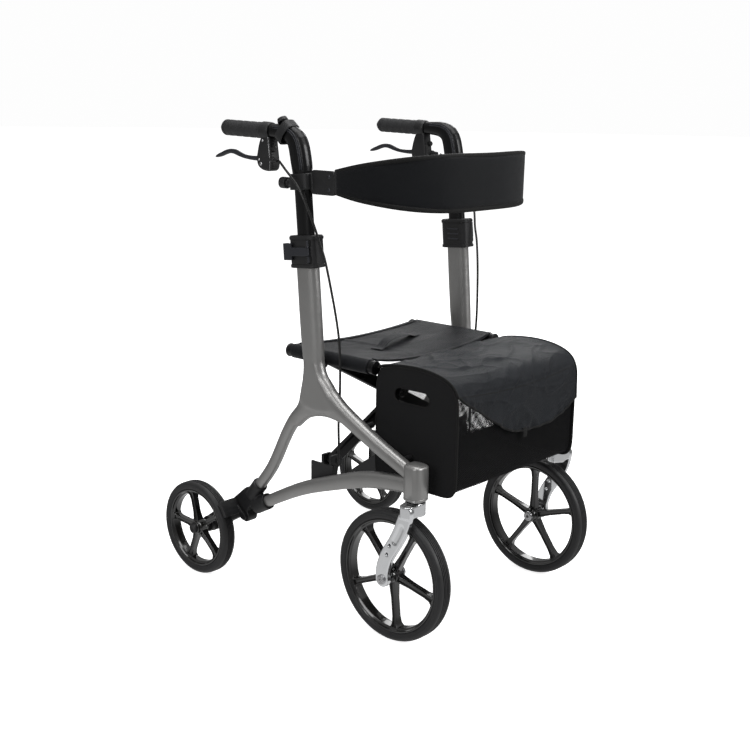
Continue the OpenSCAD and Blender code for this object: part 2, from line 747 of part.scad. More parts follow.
cable_d = 5;
cable_points = [
    [-240, 52, 877], [-250, 24, 862], [-252, -6, 838], [-250, -28, 805],
    [-243, -44, 762], [-236, -53, 728], [-232, -62, 698], [-226, -71, 647],
    [-219, -78, 593], [-214, -82, 545], [-211, -82, 495], [-209, -80, 440],
    [-208, -76, 385], [-208, -77, 330], [-211, -75, 290], [-218, -70, 270]];
rear_cable_points = [
    [-206, 96, 192], [-209, 118, 174], [-212, 134, 156], [-216, 152, 145]];

module cable(points) {
    sweep([for (p = smooth(points, 2)) [p.x, p.y, p.z, cable_d, cable_d]],
        sides = 8, power = 2, across = [1, 0.01, 0]);
}

module brake_cable() {
    color("#101012") {
        cable(cable_points);
        cable(rear_cable_points);
    }
}

// ---- right side ----

side_frame();  // right_side_frame
lower_bar();  // right_lower_bar
head_tube();  // right_head_tube
rear_bracket();  // right_rear_bracket
rear_axle();  // right_rear_axle
height_clamp();  // right_height_clamp
lock_lever();  // right_lock_lever
pivot_bracket(bar_a_y);  // right_pivot_bracket
supports();  // right_supports
bag_panel();  // right_bag_panel
brake_cable();  // right_brake_cable
brake_shoe();  // right_brake_shoe
handle_tube();  // right_handle_tube
grip();  // right_grip
brake_housing();  // right_brake_housing
brake_lever();  // right_brake_lever
backrest_bracket();  // right_backrest_bracket
caster_fork();  // right_caster_fork
caster_bearing();  // right_caster_bearing
front_axle();  // right_front_axle
wheel(-frame_half_w, front_axle_y, front_wheel_r, front_tyre_w, wheel_turns[0]);  // right_front_wheel
tyre(-frame_half_w, front_axle_y, front_wheel_r, front_tyre_w);  // right_front_tyre
wheel(-rear_wheel_x, rear_axle_y, rear_wheel_r, rear_tyre_w, wheel_turns[1]);  // right_rear_wheel
tyre(-rear_wheel_x, rear_axle_y, rear_wheel_r, rear_tyre_w);  // right_rear_tyre

// ---- left side ----

left_of_right() side_frame();  // left_side_frame
left_of_right() lower_bar();  // left_lower_bar
left_of_right() head_tube();  // left_head_tube
left_of_right() rear_bracket();  // left_rear_bracket
left_of_right() rear_axle();  // left_rear_axle
left_of_right() height_clamp();  // left_height_clamp
left_of_right() lock_lever();  // left_lock_lever
left_of_right() pivot_bracket(bar_b_y);  // left_pivot_bracket
left_of_right() supports();  // left_supports
left_of_right() bag_panel();  // left_bag_panel
left_of_right() brake_cable();  // left_brake_cable
left_of_right() brake_shoe();  // left_brake_shoe
left_of_right() handle_tube();  // left_handle_tube
left_of_right() grip();  // left_grip
left_of_right() brake_housing();  // left_brake_housing
left_of_right() brake_lever();  // left_brake_lever
left_of_right() backrest_bracket();  // left_backrest_bracket
left_of_right() caster_fork();  // left_caster_fork
left_of_right() caster_bearing();  // left_caster_bearing
left_of_right() front_axle();  // left_front_axle
left_of_right()  // left_front_wheel
        wheel(-frame_half_w, front_axle_y, front_wheel_r, front_tyre_w, wheel_turns[2]);
left_of_right() tyre(-frame_half_w, front_axle_y, front_wheel_r, front_tyre_w);  // left_front_tyre
left_of_right()  // left_rear_wheel
        wheel(-rear_wheel_x, rear_axle_y, rear_wheel_r, rear_tyre_w, wheel_turns[3]);
left_of_right() tyre(-rear_wheel_x, rear_axle_y, rear_wheel_r, rear_tyre_w);  // left_rear_tyre

// ---- middle ----

cross_bar_a();
cross_bar_b();
cross_bolt();
seat_rail();  // right_seat_rail
left_of_right() seat_rail();  // left_seat_rail
seat_sling();
backrest_strap();
stick_clip();
bag_body();
bag_flap();
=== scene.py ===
"""A folding four-wheeled walker: its finished pieces, materials, light and camera.

Lengths are in metres. X runs across, -Y is the front, +Z is up. The user stands behind the
walker and faces its front, so the right side is -X. A piece that both sides have is shaped
once, on the right, and mirrored.
"""
import math

import bmesh
import bpy
from mathutils import Matrix, Vector, noise


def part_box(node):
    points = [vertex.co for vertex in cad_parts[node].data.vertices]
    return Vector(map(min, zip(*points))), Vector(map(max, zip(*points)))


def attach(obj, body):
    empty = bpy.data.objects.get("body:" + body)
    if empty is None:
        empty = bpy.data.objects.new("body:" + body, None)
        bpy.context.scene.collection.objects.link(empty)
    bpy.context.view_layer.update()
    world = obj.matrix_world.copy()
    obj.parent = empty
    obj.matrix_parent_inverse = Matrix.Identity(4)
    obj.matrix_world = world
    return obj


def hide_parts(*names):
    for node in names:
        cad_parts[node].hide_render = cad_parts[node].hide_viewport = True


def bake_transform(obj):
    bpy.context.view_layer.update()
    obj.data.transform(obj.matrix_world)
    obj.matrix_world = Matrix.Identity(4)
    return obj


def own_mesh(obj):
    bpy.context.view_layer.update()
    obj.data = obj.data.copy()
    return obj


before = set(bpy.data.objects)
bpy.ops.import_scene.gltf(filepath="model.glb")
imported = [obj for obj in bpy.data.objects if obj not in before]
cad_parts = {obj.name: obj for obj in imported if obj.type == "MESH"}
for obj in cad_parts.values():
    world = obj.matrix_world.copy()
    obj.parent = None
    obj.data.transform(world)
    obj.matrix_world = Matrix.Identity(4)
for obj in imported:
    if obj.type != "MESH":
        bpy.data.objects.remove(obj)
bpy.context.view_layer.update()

MM = 0.001
SIDES = ("right", "left")
ACROSS = Vector((1, 0, 0))
UP = Vector((0, 0, 1))


# ---- places taken from the frame ----

def corners(node):
    low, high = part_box(node)
    return Vector(low), Vector(high)


def middle(node):
    low, high = corners(node)
    return (low + high) / 2


SIDE_X = middle("right_side_frame").x
SEAT_LOW, SEAT_HIGH = corners("seat_sling")
PANEL_LOW, PANEL_HIGH = corners("right_bag_panel")
STRAP_LOW, STRAP_HIGH = corners("backrest_strap")
GRIP_LOW = corners("right_grip")[0]
LEAN = math.radians(5.1)
MAST = Vector((0, math.sin(LEAN), math.cos(LEAN)))


# ---- materials ----

class Signal:
    """A number on its way through a material; an expression on it adds the Math nodes."""

    def __init__(self, finish, socket):
        self.finish = finish
        self.socket = socket

    def _math(self, operation, first, second):
        return self.finish.node("ShaderNodeMath", {"operation": operation}, {0: first, 1: second})

    def __add__(self, other):
        return self._math("ADD", self, other)

    def __sub__(self, other):
        return self._math("SUBTRACT", self, other)

    def __rsub__(self, other):
        return self._math("SUBTRACT", other, self)

    def __mul__(self, other):
        return self._math("MULTIPLY", self, other)

    def __gt__(self, other):
        return self._math("GREATER_THAN", self, other)

    __radd__ = __add__
    __rmul__ = __mul__


class Graph:
    """A node tree, with one method that adds any node."""

    def __init__(self, tree):
        self.tree = tree
        self.tree.nodes.clear()

    def feed(self, socket, value):
        if isinstance(value, Signal):
            self.tree.links.new(value.socket, socket)
        else:
            socket.default_value = value

    def node(self, kind, settings=None, inputs=None, output=0):
        made = self.tree.nodes.new(kind)
        for key, value in (settings or {}).items():
            setattr(made, key, value)
        for key, value in (inputs or {}).items():
            self.feed(made.inputs[key], value)
        return Signal(self, made.outputs[output]) if made.outputs else made


class Finish(Graph):
    """A material with one Principled shader. Its constants are set on the shader itself."""

    def __init__(self, name, **constants):
        self.material = bpy.data.materials.new(name)
        self.material.use_nodes = True
        super().__init__(self.material.node_tree)
        self.shader = self.tree.nodes.new("ShaderNodeBsdfPrincipled")
        end = self.tree.nodes.new("ShaderNodeOutputMaterial")
        self.tree.links.new(self.shader.outputs[0], end.inputs[0])
        for socket, value in constants.items():
            self.feed(self.shader.inputs[socket.replace("_", " ")], value)
        self.place = self.node("ShaderNodeTexCoord", output="Object")

    def wear(self, socket, value):
        """What varies over the surface goes into the shader's socket."""
        self.feed(self.shader.inputs[socket], value)

    def speckle(self, scale, detail=2.0, roughness=0.5):
        return self.node("ShaderNodeTexNoise", {}, {
            "Vector": self.place, "Scale": scale, "Detail": detail, "Roughness": roughness})

    def axis(self, name):
        return self.node("ShaderNodeSeparateXYZ", {}, {"Vector": self.place}, name)

    def wave(self, value, pitch):
        """A sine between -1 and 1 that repeats every pitch metres."""
        return self.node("ShaderNodeMath", {"operation": "SINE"}, {0: value * (2 * math.pi / pitch)})

    def blend(self, share, dark, light):
        return self.node("ShaderNodeMix", {"data_type": "RGBA"}, {
            0: share, 6: (*dark, 1), 7: (*light, 1)}, 2)

    def range(self, value, low, high):
        return self.node("ShaderNodeMapRange", {}, {0: value, 1: 0.3, 2: 0.7, 3: low, 4: high})

    def bump(self, height, depth, strength=1.0):
        self.wear("Normal", self.node("ShaderNodeBump", {}, {
            "Strength": strength, "Distance": depth, "Height": height}))


def frame_paint():
    """Satin metallic titanium grey: fine flakes, and a little unevenness in the lacquer."""
    f = Finish("frame_paint", Coat_Roughness=0.22, IOR=1.45)
    flakes = f.speckle(5200, 1)
    cloud = f.speckle(14, 3)
    shade = flakes * 0.75 + cloud * 0.25
    f.wear("Base Color", f.blend(shade, (0.25, 0.248, 0.244), (0.47, 0.465, 0.456)))
    f.wear("Metallic", f.range(flakes, 0.70, 0.86))
    f.wear("Roughness", f.range(f.speckle(60, 4), 0.36, 0.44))
    f.wear("Coat Weight", 0.25)
    f.bump(flakes, 0.00004, 0.35)
    return f.material


def moulded_plastic(name, colour, gloss=0.42, grain=0.00012):
    """Moulded black plastic with a fine spark-eroded grain, shinier where hands rub it."""
    f = Finish(name, Specular_IOR_Level=0.42)
    rub = f.speckle(22, 3)
    f.wear("Base Color", f.blend(rub, colour, [c * 1.6 + 0.002 for c in colour]))
    f.wear("Roughness", f.range(rub, gloss - 0.06, gloss + 0.1))
    f.bump(f.speckle(2600, 3, 0.7), grain, 0.6)
    return f.material


def drawn_tube():
    """Black anodised tube with faint lengthwise draw lines."""
    f = Finish("black_tube", Specular_IOR_Level=0.5)
    lines = f.node("ShaderNodeTexNoise", {}, {
        "Vector": f.node("ShaderNodeMapping", {}, {"Vector": f.place, "Scale": (900, 900, 9)}),
        "Scale": 1.0, "Detail": 2.0})
    f.wear("Base Color", f.blend(lines, (0.002, 0.002, 0.0023), (0.005, 0.005, 0.006)))
    f.wear("Metallic", 0.3)
    f.wear("Roughness", f.range(lines, 0.27, 0.36))
    f.bump(lines, 0.00003, 0.5)
    return f.material


def grip_rubber():
    """Soft black rubber with a dense knurl of small dots."""
    f = Finish("grip_rubber", Specular_IOR_Level=0.35)
    dots = f.wave(f.axis("Y"), 0.0032) * f.wave(f.axis("X") + f.axis("Z"), 0.0032)
    rub = f.speckle(40, 3)
    f.wear("Base Color", f.blend(rub, (0.020, 0.020, 0.021), (0.038, 0.038, 0.040)))
    f.wear("Roughness", f.range(rub, 0.5, 0.66))
    f.bump(dots * 0.5 + f.speckle(1800, 2) * 0.5, 0.0004, 0.6)
    return f.material


def polished_chrome():
    f = Finish("chrome")
    haze = f.speckle(35, 4)
    f.wear("Base Color", f.blend(haze, (0.80, 0.81, 0.83), (0.92, 0.93, 0.94)))
    f.wear("Metallic", 1.0)
    f.wear("Roughness", f.range(haze, 0.05, 0.14))
    f.bump(f.speckle(90, 2), 0.00012, 0.35)
    return f.material


def turned_steel():
    f = Finish("steel")
    rings = f.speckle(700, 2)
    f.wear("Base Color", f.blend(rings, (0.42, 0.42, 0.43), (0.66, 0.66, 0.67)))
    f.wear("Metallic", 1.0)
    f.wear("Roughness", f.range(rings, 0.2, 0.34))
    f.bump(rings, 0.00006, 0.4)
    return f.material


def gloss_rim():
    """Glossy black rim with a faint orange peel and road dust."""
    f = Finish("rim_gloss", Specular_IOR_Level=0.6, Coat_Roughness=0.05)
    dust = f.speckle(45, 5)
    f.wear("Base Color", f.blend(dust, (0.006, 0.006, 0.006), (0.018, 0.017, 0.016)))
    f.wear("Roughness", f.range(dust, 0.10, 0.22))
    f.wear("Coat Weight", 0.8)
    f.bump(f.speckle(260, 2), 0.00006, 0.4)
    return f.material


def tyre_rubber():
    """Dark grey solid tyre, with the scuffs of light use."""
    f = Finish("tyre_rubber", Specular_IOR_Level=0.4)
    scuff = f.speckle(70, 6, 0.6)
    f.wear("Base Color", f.blend(scuff, (0.016, 0.016, 0.017), (0.034, 0.034, 0.035)))
    f.wear("Roughness", f.range(scuff, 0.42, 0.6))
    f.bump(f.speckle(900, 4), 0.00025, 0.5)
    return f.material


def woven(name, dark, light, first, second, pitch, rough=(0.5, 0.66), depth=0.00018, sheen=0.03,
          shine=0.2):
    """Cloth woven along two of the axes given, such as "X" and "YZ"."""
    f = Finish(name, Specular_IOR_Level=shine, Sheen_Weight=sheen, Sheen_Roughness=0.5)

    def along(names):
        total = f.axis(names[0])
        for other in names[1:]:
            total = total + f.axis(other)
        return total

    threads = f.wave(along(first), pitch) * f.wave(along(second), pitch)
    use = f.speckle(9, 4)
    f.wear("Base Color", f.blend(use * 0.7 + threads * 0.15 + 0.15, dark, light))
    f.wear("Roughness", f.range(use, *rough))
    f.bump(threads * 0.6 + f.speckle(380, 3) * 0.7, depth, 0.8)
    return f.material


def open_mesh():
    """Black net with small diamond holes, a little over half open."""
    f = Finish("bag_net", Specular_IOR_Level=0.15, Roughness=0.8)
    pitch = 0.0080
    weave = f.wave(f.axis("X") + f.axis("Z"), pitch) * f.wave(f.axis("X") - f.axis("Z"), pitch)
    open_share = weave * weave
    f.wear("Base Color", f.blend(f.speckle(600, 2), (0.005, 0.005, 0.0055), (0.012, 0.012, 0.013)))
    f.wear("Alpha", 1 - (open_share > 0.10))
    f.bump(1 - open_share, 0.0005, 0.5)
    return f.material


def cable_sheath():
    f = Finish("cable_sheath", Specular_IOR_Level=0.5)
    f.wear("Base Color", f.blend(f.speckle(120, 3), (0.006, 0.006, 0.006), (0.014, 0.014, 0.014)))
    f.wear("Roughness", f.range(f.speckle(50, 3), 0.28, 0.42))
    f.bump(f.speckle(900, 2), 0.00008, 0.4)
    return f.material


PAINT = frame_paint()
PLASTIC = moulded_plastic("black_plastic", (0.011, 0.011, 0.0118))
LEVER_PLASTIC = moulded_plastic("lever_plastic", (0.019, 0.020, 0.025), 0.36)
TUBE = drawn_tube()
RUBBER = grip_rubber()
CHROME = polished_chrome()
STEEL = turned_steel()
RIM = gloss_rim()
TYRE = tyre_rubber()
SEAT_CLOTH = woven("nylon", (0.005, 0.0053, 0.0066), (0.011, 0.012, 0.015), "X", "YZ", 0.0011)
FLAP_CLOTH = woven("flap_nylon", (0.005, 0.006, 0.008), (0.012, 0.0145, 0.0185), "X", "YZ", 0.0009,
                   (0.46, 0.62))
BOARD_CLOTH = woven("bag_board", (0.0075, 0.0075, 0.008), (0.013, 0.013, 0.014), "Y", "ZX", 0.0013,
                    (0.78, 0.92), 0.00012, 0.05)
PIPING = woven("piping", (0.006, 0.006, 0.006), (0.012, 0.012, 0.012), "Y", "ZX", 0.0016, (0.6, 0.8))
STRAP_CLOTH = woven("strap_fabric", (0.004, 0.0043, 0.0053), (0.0075, 0.0085, 0.0102), "Z", "XY",
                    0.0012, (0.8, 0.95), 0.00015, 0.08)
NET = open_mesh()
SHEATH = cable_sheath()


# ---- shaping ----

def smooth_path(points, steps):
    """Points of the smooth curve through the given ones; each may hold any number of values."""
    last = len(points) - 1
    out = []
    for i in range(last):
        a, b, c, d = (points[max(i - 1, 0)], points[i], points[i + 1], points[min(i + 2, last)])
        for step in range(steps):
            t = step / steps
            out.append(tuple(
                0.5 * (2 * q + (r - p) * t + (2 * p - 5 * q + 4 * r - s) * t * t
                       + (3 * q - p - 3 * r + s) * t ** 3)
                for p, q, r, s in zip(a, b, c, d)))
    out.append(tuple(points[last]))
    return out


def copy_of(*nodes):
    """A bmesh with merged copies of CAD nodes."""
    bm = bmesh.new()
    for node in nodes:
        bm.from_mesh(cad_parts[node].data)
    bmesh.ops.remove_doubles(bm, verts=bm.verts, dist=2e-6)
    return bm


def refined(*nodes):
    """Copies of CAD nodes whose flat faces are whole again, ready for a bevel."""
    bm = copy_of(*nodes)
    bmesh.ops.dissolve_limit(bm, angle_limit=math.radians(0.6), verts=bm.verts, edges=bm.edges)
    return bm


def mirror(bm):
    bmesh.ops.scale(bm, vec=(-1, 1, 1), verts=bm.verts)
    bmesh.ops.reverse_faces(bm, faces=bm.faces)
    return bm


def cast(nodes, voxel, rounds, *extra):
    """One closed skin over copies of CAD nodes and extra shapes, softened at every corner."""
    bm = joined(copy_of(*nodes), *extra)
    mesh = bpy.data.meshes.new("pattern")
    bm.to_mesh(mesh)
    bm.free()
    pattern = bpy.data.objects.new("pattern", mesh)
    bpy.context.scene.collection.objects.link(pattern)
    skin = pattern.modifiers.new("skin", "REMESH")
    skin.mode = "VOXEL"
    skin.voxel_size = voxel
    soft = pattern.modifiers.new("soft", "SMOOTH")
    soft.factor = 0.5
    soft.iterations = rounds
    shape = pattern.evaluated_get(bpy.context.evaluated_depsgraph_get()).to_mesh()
    out = bmesh.new()
    out.from_mesh(shape)
    bpy.data.objects.remove(pattern)
    bpy.data.meshes.remove(mesh)
    return out


def fill_ends(bm):
    open_edges = [e for e in bm.edges if e.is_boundary]
    bmesh.ops.holes_fill(bm, edges=open_edges, sides=0)


def rounded(power, sides):
    """A unit outline between a circle (power 2) and a square (a high power)."""
    out = []
    for k in range(sides):
        turn = 2 * math.pi * k / sides
        x, y = math.cos(turn), math.sin(turn)
        out.append((math.copysign(abs(x) ** (2 / power), x), math.copysign(abs(y) ** (2 / power), y)))
    return out


def sweep(bm, path, outline, across=ACROSS, closed=False):
    """Extrudes an outline along a path of (x, y, z, half width, half thickness).

    The thickness lies along across."""
    places = [Vector(p[:3]) for p in path]
    last = len(places) - 1
    poses = []
    for i, p in enumerate(path):
        ahead = places[(i + 1) % (last + 1)] if closed else places[min(i + 1, last)]
        behind = places[i - 1] if closed else places[max(i - 1, 0)]
        along = (ahead - behind).normalized()
        wide = along.cross(across).normalized()
        thick = wide.cross(along).normalized()
        pose = Matrix((wide * p[3], thick * p[4], along)).transposed().to_4x4()
        pose.translation = places[i]
        poses.append(pose)
    ring = bmesh.ops.create_circle(bm, segments=len(outline), radius=1)["verts"]
    for vert, (a, b) in zip(ring, outline):
        vert.co = (a, b, 0)
    bmesh.ops.transform(bm, matrix=poses[0], verts=ring)
    edges = list({e for v in ring for e in v.link_edges})
    first = list(edges)
    for before, after in zip(poses, poses[1:]):
        grown = bmesh.ops.extrude_edge_only(bm, edges=edges)["geom"]
        verts = [g for g in grown if isinstance(g, bmesh.types.BMVert)]
        edges = [g for g in grown if isinstance(g, bmesh.types.BMEdge)]
        bmesh.ops.transform(bm, matrix=after @ before.inverted(), verts=verts)
    if closed:
        bmesh.ops.bridge_loops(bm, edges=first + edges)
    else:
        fill_ends(bm)
    bmesh.ops.recalc_face_normals(bm, faces=bm.faces)
    return bm


def turned(bm, profile, start, along, steps=48):
    """Spins a profile of (radius, distance along the axis) round an axis."""
    verts = [bm.verts.new((r, 0, h)) for r, h in profile]
    edges = [bm.edges.new(pair) for pair in zip(verts, verts[1:])]
    bmesh.ops.spin(bm, geom=verts + edges, cent=(0, 0, 0), axis=(0, 0, 1),
                   angle=2 * math.pi, steps=steps, use_merge=True)
    made = list({v for f in bm.faces for v in f.verts if v.is_valid} | {v for v in verts if v.is_valid})
    turn = UP.rotation_difference(Vector(along)).to_matrix().to_4x4()
    turn.translation = Vector(start)
    bmesh.ops.transform(bm, matrix=turn, verts=made)
    bmesh.ops.remove_doubles(bm, verts=made, dist=1e-7)
    bmesh.ops.recalc_face_normals(bm, faces=bm.faces)
    return bm


def joined(*shapes):
    """Several shapes in one bmesh."""
    whole = bmesh.new()
    for shape in shapes:
        part = bpy.data.meshes.new("part")
        shape.to_mesh(part)
        whole.from_mesh(part)
        shape.free()
        bpy.data.meshes.remove(part)
    return whole


def new_turned(profile, start, along, steps=48):
    return turned(bmesh.new(), profile, start, along, steps)


def new_sweep(path, outline, across=ACROSS, closed=False):
    return sweep(bmesh.new(), path, outline, across, closed)


def mm(rows):
    """Rows of numbers given in millimetres."""
    return [tuple(value * MM for value in row) for row in rows]


def thick(points, width, depth=None):
    """Rows for a sweep with one half width and half thickness, in millimetres, all along."""
    depth = width if depth is None else depth
    return [(*point, width * MM, depth * MM) for point in points]


def plate(outline, depth, edge=0.0, segments=2):
    """An outline of 3-D points in one plane, thickened by the vector depth."""
    bm = bmesh.new()
    face = bm.faces.new([bm.verts.new(p) for p in outline])
    grown = bmesh.ops.extrude_face_region(bm, geom=[face])["geom"]
    bmesh.ops.translate(bm, vec=depth, verts=[g for g in grown if isinstance(g, bmesh.types.BMVert)])
    bmesh.ops.recalc_face_normals(bm, faces=bm.faces)
    if edge:
        sharp = [e for e in bm.edges if e.calc_face_angle(0) > 0.6]
        bmesh.ops.bevel(bm, geom=sharp, offset=edge, offset_type="OFFSET", affect="EDGES",
                        segments=segments, profile=0.5, material=-1)
    return bm


def piece(name, bm, finish, crease=38, bevel=0.0, segments=2, levels=0):
    """Turns a bmesh into a finished object."""
    mesh = bpy.data.meshes.new(name)
    bm.to_mesh(mesh)
    bm.free()
    mesh.polygons.foreach_set("use_smooth", [True] * len(mesh.polygons))
    mesh.set_sharp_from_angle(angle=math.radians(crease))
    mesh.materials.append(finish)
    obj = bpy.data.objects.new(name, mesh)
    bpy.context.scene.collection.objects.link(obj)
    if bevel:
        edge = obj.modifiers.new("edge", "BEVEL")
        edge.width = bevel
        edge.segments = segments
        edge.limit_method = "ANGLE"
        edge.angle_limit = math.radians(40)
        edge.use_clamp_overlap = False
    if levels:
        rounder = obj.modifiers.new("rounder", "SUBSURF")
        rounder.levels = rounder.render_levels = levels
    return obj


def settle(obj, body, slot, *nodes):
    """The piece rides on a body and stands for CAD nodes. slot is not used."""
    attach(obj, body)
    if nodes:
        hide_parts(*nodes)
    return obj


def pair(name, shape, finish, slot, body, *nodes, **looks):
    """The piece on the right and its mirror image on the left. body and nodes have no side."""
    made = []
    for side in SIDES:
        bm = shape.copy()
        if side == "left":
            mirror(bm)
        obj = piece(f"{side}_{name}", bm, finish, **looks)
        made.append(settle(obj, f"{side}_{body}", slot, *(f"{side}_{n}" for n in nodes)))
    shape.free()
    return made


# ---- wheels ----

def tyre_shape(node):
    low, high = corners(node)
    mid, radius, half = (low + high) / 2, (high.z - low.z) / 2, (high.x - low.x) / 2
    side = [(-17, -4), (-16.2, -2), (-13, -0.6), (-10.4, -0.1), (-10, -0.5), (-9.4, -0.1),
            (-6, 0), (-3.6, -0.9), (-1.7, -2.6), (-0.5, -5.2), (-0.1, -7.6)]
    wall = [(radius + r * MM, half + x * MM) for r, x in side]
    tread = []
    for groove in (0.48, 0.16, -0.16, -0.48):
        x = groove * (half - 4 * MM)
        tread += [(radius, x + 1.2 * MM), (radius - 1.5 * MM, x + 0.7 * MM),
                  (radius - 1.5 * MM, x - 0.7 * MM), (radius, x - 1.2 * MM)]
    other = [(r, -x) for r, x in reversed(wall)]
    profile = wall + tread + other + [wall[0]]
    return new_turned(profile, mid, ACROSS, 120)


def rim_shape(tyre_node, turn):
    """Deep rim with a wide inner face, five I-section spokes and a hub."""
    low, high = corners(tyre_node)
    mid, radius, half = (low + high) / 2, (high.z - low.z) / 2, (high.x - low.x) / 2
    seat = radius - 17 * MM
    lip = half - 2.4 * MM
    inner = radius - 25 * MM
    profile = [(seat, -lip), (seat, lip), (seat - 1.8 * MM, lip + 0.8 * MM),
               (seat - 3.6 * MM, lip - 0.2 * MM), (seat - 4.6 * MM, lip - 2.6 * MM),
               (inner, lip - 5 * MM), (inner - 0.5 * MM, 0), (inner, 5 * MM - lip),
               (seat - 4.6 * MM, 2.6 * MM - lip), (seat - 3.6 * MM, 0.2 * MM - lip),
               (seat - 1.8 * MM, -lip - 0.8 * MM), (seat, -lip)]
    shapes = [new_turned(profile, mid, ACROSS, 120)]
    hub = [(0, -half), (10 * MM, -half), (13 * MM, 1.4 * MM - half), (14 * MM, 4 * MM - half),
           (14 * MM, -9 * MM), (16.5 * MM, -7 * MM), (16.5 * MM, 7 * MM), (14 * MM, 9 * MM),
           (14 * MM, half - 4 * MM), (13 * MM, half - 1.4 * MM), (10 * MM, half), (0, half)]
    shapes.append(new_turned(hub, mid, ACROSS, 40))
    beam = [(1, -1), (1, 1), (0.62, 1), (0.45, 0.5), (-0.45, 0.5), (-0.62, 1),
            (-1, 1), (-1, -1), (-0.62, -1), (-0.45, -0.5), (0.45, -0.5), (0.62, -1)]
    reach = inner + 0.6 * MM
    for k in range(5):
        angle = turn + math.radians(72 * k)
        out = Vector((0, math.cos(angle), math.sin(angle)))
        path = [(*(mid + out * r), w * MM, t * MM) for r, w, t in (
            (11 * MM, 8.4, 8.5), (18 * MM, 7.2, 7.4), (0.45 * reach, 5.6, 6.2), (0.8 * reach, 5.2, 6.6),
            (0.93 * reach, 6.2, 8.0), (0.98 * reach, 8.4, 10), (reach + 1 * MM, 10.5, 11))]
        shapes.append(new_sweep(path, beam))
    return joined(*shapes)


def wheels():
    turns = {"right_front": 48, "left_front": 18, "right_rear": 4, "left_rear": 18}
    for name, turn in turns.items():
        body = f"{name}_wheel"
        tyre = piece(f"{name}_tyre_ring", tyre_shape(f"{name}_tyre"), TYRE, crease=50)
        settle(tyre, body, "tyre_rubber", f"{name}_tyre")
        rim = piece(f"{name}_spoked_rim", rim_shape(f"{name}_tyre", math.radians(turn)), RIM,
                    crease=30, bevel=0.7 * MM)
        settle(rim, body, "rim_gloss", f"{name}_wheel")


def axle_ends():
    """Socket-headed bolt caps on the front axles, and dished caps on the rear ones."""
    low, high = corners("right_front_axle")
    mid = (low + high) / 2
    head = mm([(0, -3), (3.2, -3), (3.2, 0), (6, 0), (6.6, -0.8), (7.2, 0), (9.2, -0.4),
               (10, -1.6), (10, -6), (0, -6)])
    shaft = [(0, 0), (5 * MM, 0), (5 * MM, high.x - low.x - 6 * MM), (0, high.x - low.x - 6 * MM)]
    outer = new_turned([(0.92 * r, h * 0.7) for r, h in head], (low.x, mid.y, mid.z), -ACROSS, 32)
    inner = new_turned(head, (high.x, mid.y, mid.z), ACROSS, 32)
    rod = new_turned(shaft, (low.x + 3 * MM, mid.y, mid.z), ACROSS, 24)
    pair("front_bolt", joined(outer, inner, rod), STEEL, "steel", "caster", "front_axle",
         bevel=0.25 * MM)

    low, high = corners("right_rear_axle")
    mid = (low + high) / 2
    dish = mm([(0, 1.2), (4, 0.9), (6, 0), (8.6, 0), (10.4, 1.4), (11, 3.2), (11, 5.6), (0, 5.6)])
    cap = new_turned(dish, (low.x, mid.y, mid.z), ACROSS, 36)
    pair("rear_wheel_cap", cap, PLASTIC, "steel", "frame", crease=30)
    length = high.x - low.x - 5 * MM
    shaft = [(0, 0), (5 * MM, 0), (5 * MM, length - 6 * MM), (9 * MM, length - 6 * MM),
             (9 * MM, length - 1 * MM), (8 * MM, length), (0, length)]
    rod = new_turned(shaft, (low.x + 5 * MM, mid.y, mid.z), ACROSS, 24)
    pair("rear_axle_rod", rod, STEEL, "steel", "frame", "rear_axle", crease=30)


# ---- frame ----

def side_frames():
    """The wishbone's tubes run together in a flush web over the arch between the legs."""
    face = SIDE_X - 14.2 * MM
    arch = [(-100, 418), (-72, 410), (-46, 408), (-20, 412), (-2, 424), (-10, 460), (-16, 500),
            (-44, 500), (-56, 468), (-80, 440)]
    web = plate([(face, y * MM, z * MM) for y, z in arch], (28.4 * MM, 0, 0))
    skin = cast(["right_side_frame"], 2.4 * MM, 10, web)
    pair("wishbone", skin, PAINT, "frame_paint", "frame", "side_frame", crease=180)
    bar = cast(["right_lower_bar"], 2.4 * MM, 6)
    pair("lower_rail", bar, PAINT, "frame_paint", "frame", "lower_bar", crease=180)


def head_tubes():
    low, high = corners("right_head_tube")
    mid, half = (low + high) / 2, (high.x - low.x) / 2
    path = [(mid.x, mid.y, low.z + z * MM, half + w * MM, half + w * MM) for z, w in (
        (0, -1.6), (0.8, -0.5), (2.2, 0), (5, 0), (5.6, -0.5), (6.2, 0), (62, 0), (64.4, -0.7),
        (66.6, -2.8), (68, -6), (68.8, -12))]
    shape = new_sweep(path, rounded(3.2, 40), across=ACROSS)
    pair("head_casting", shape, PAINT, "frame_paint", "frame", "head_tube", crease=40)


def rear_brackets():
    shape = cast(["right_rear_bracket"], 1.5 * MM, 3)
    pair("rear_joint", shape, PLASTIC, "black_plastic", "frame", "rear_bracket", crease=180)
    pair("brake_block", refined("right_brake_shoe"), PLASTIC, "black_plastic", "brake_shoe",
         "brake_shoe", bevel=0.8 * MM)


def casters():
    fork = cast(["right_caster_fork"], 1.15 * MM, 5)
    pair("chrome_fork", fork, CHROME, "chrome", "caster", "caster_fork", crease=180)
    pair("swivel_seal", refined("right_caster_bearing"), PLASTIC, "black_plastic", "caster",
         "caster_bearing", bevel=0.3 * MM)


def mast_place(height, x=0.0, y=0.0):
    """A point on the leaning upright's axis at a height, moved across and fore and aft."""
    axis = middle("right_height_clamp")
    up = (height - axis.z) / MAST.z
    return axis + MAST * up + Vector((x, y * math.cos(LEAN), -y * math.sin(LEAN)))


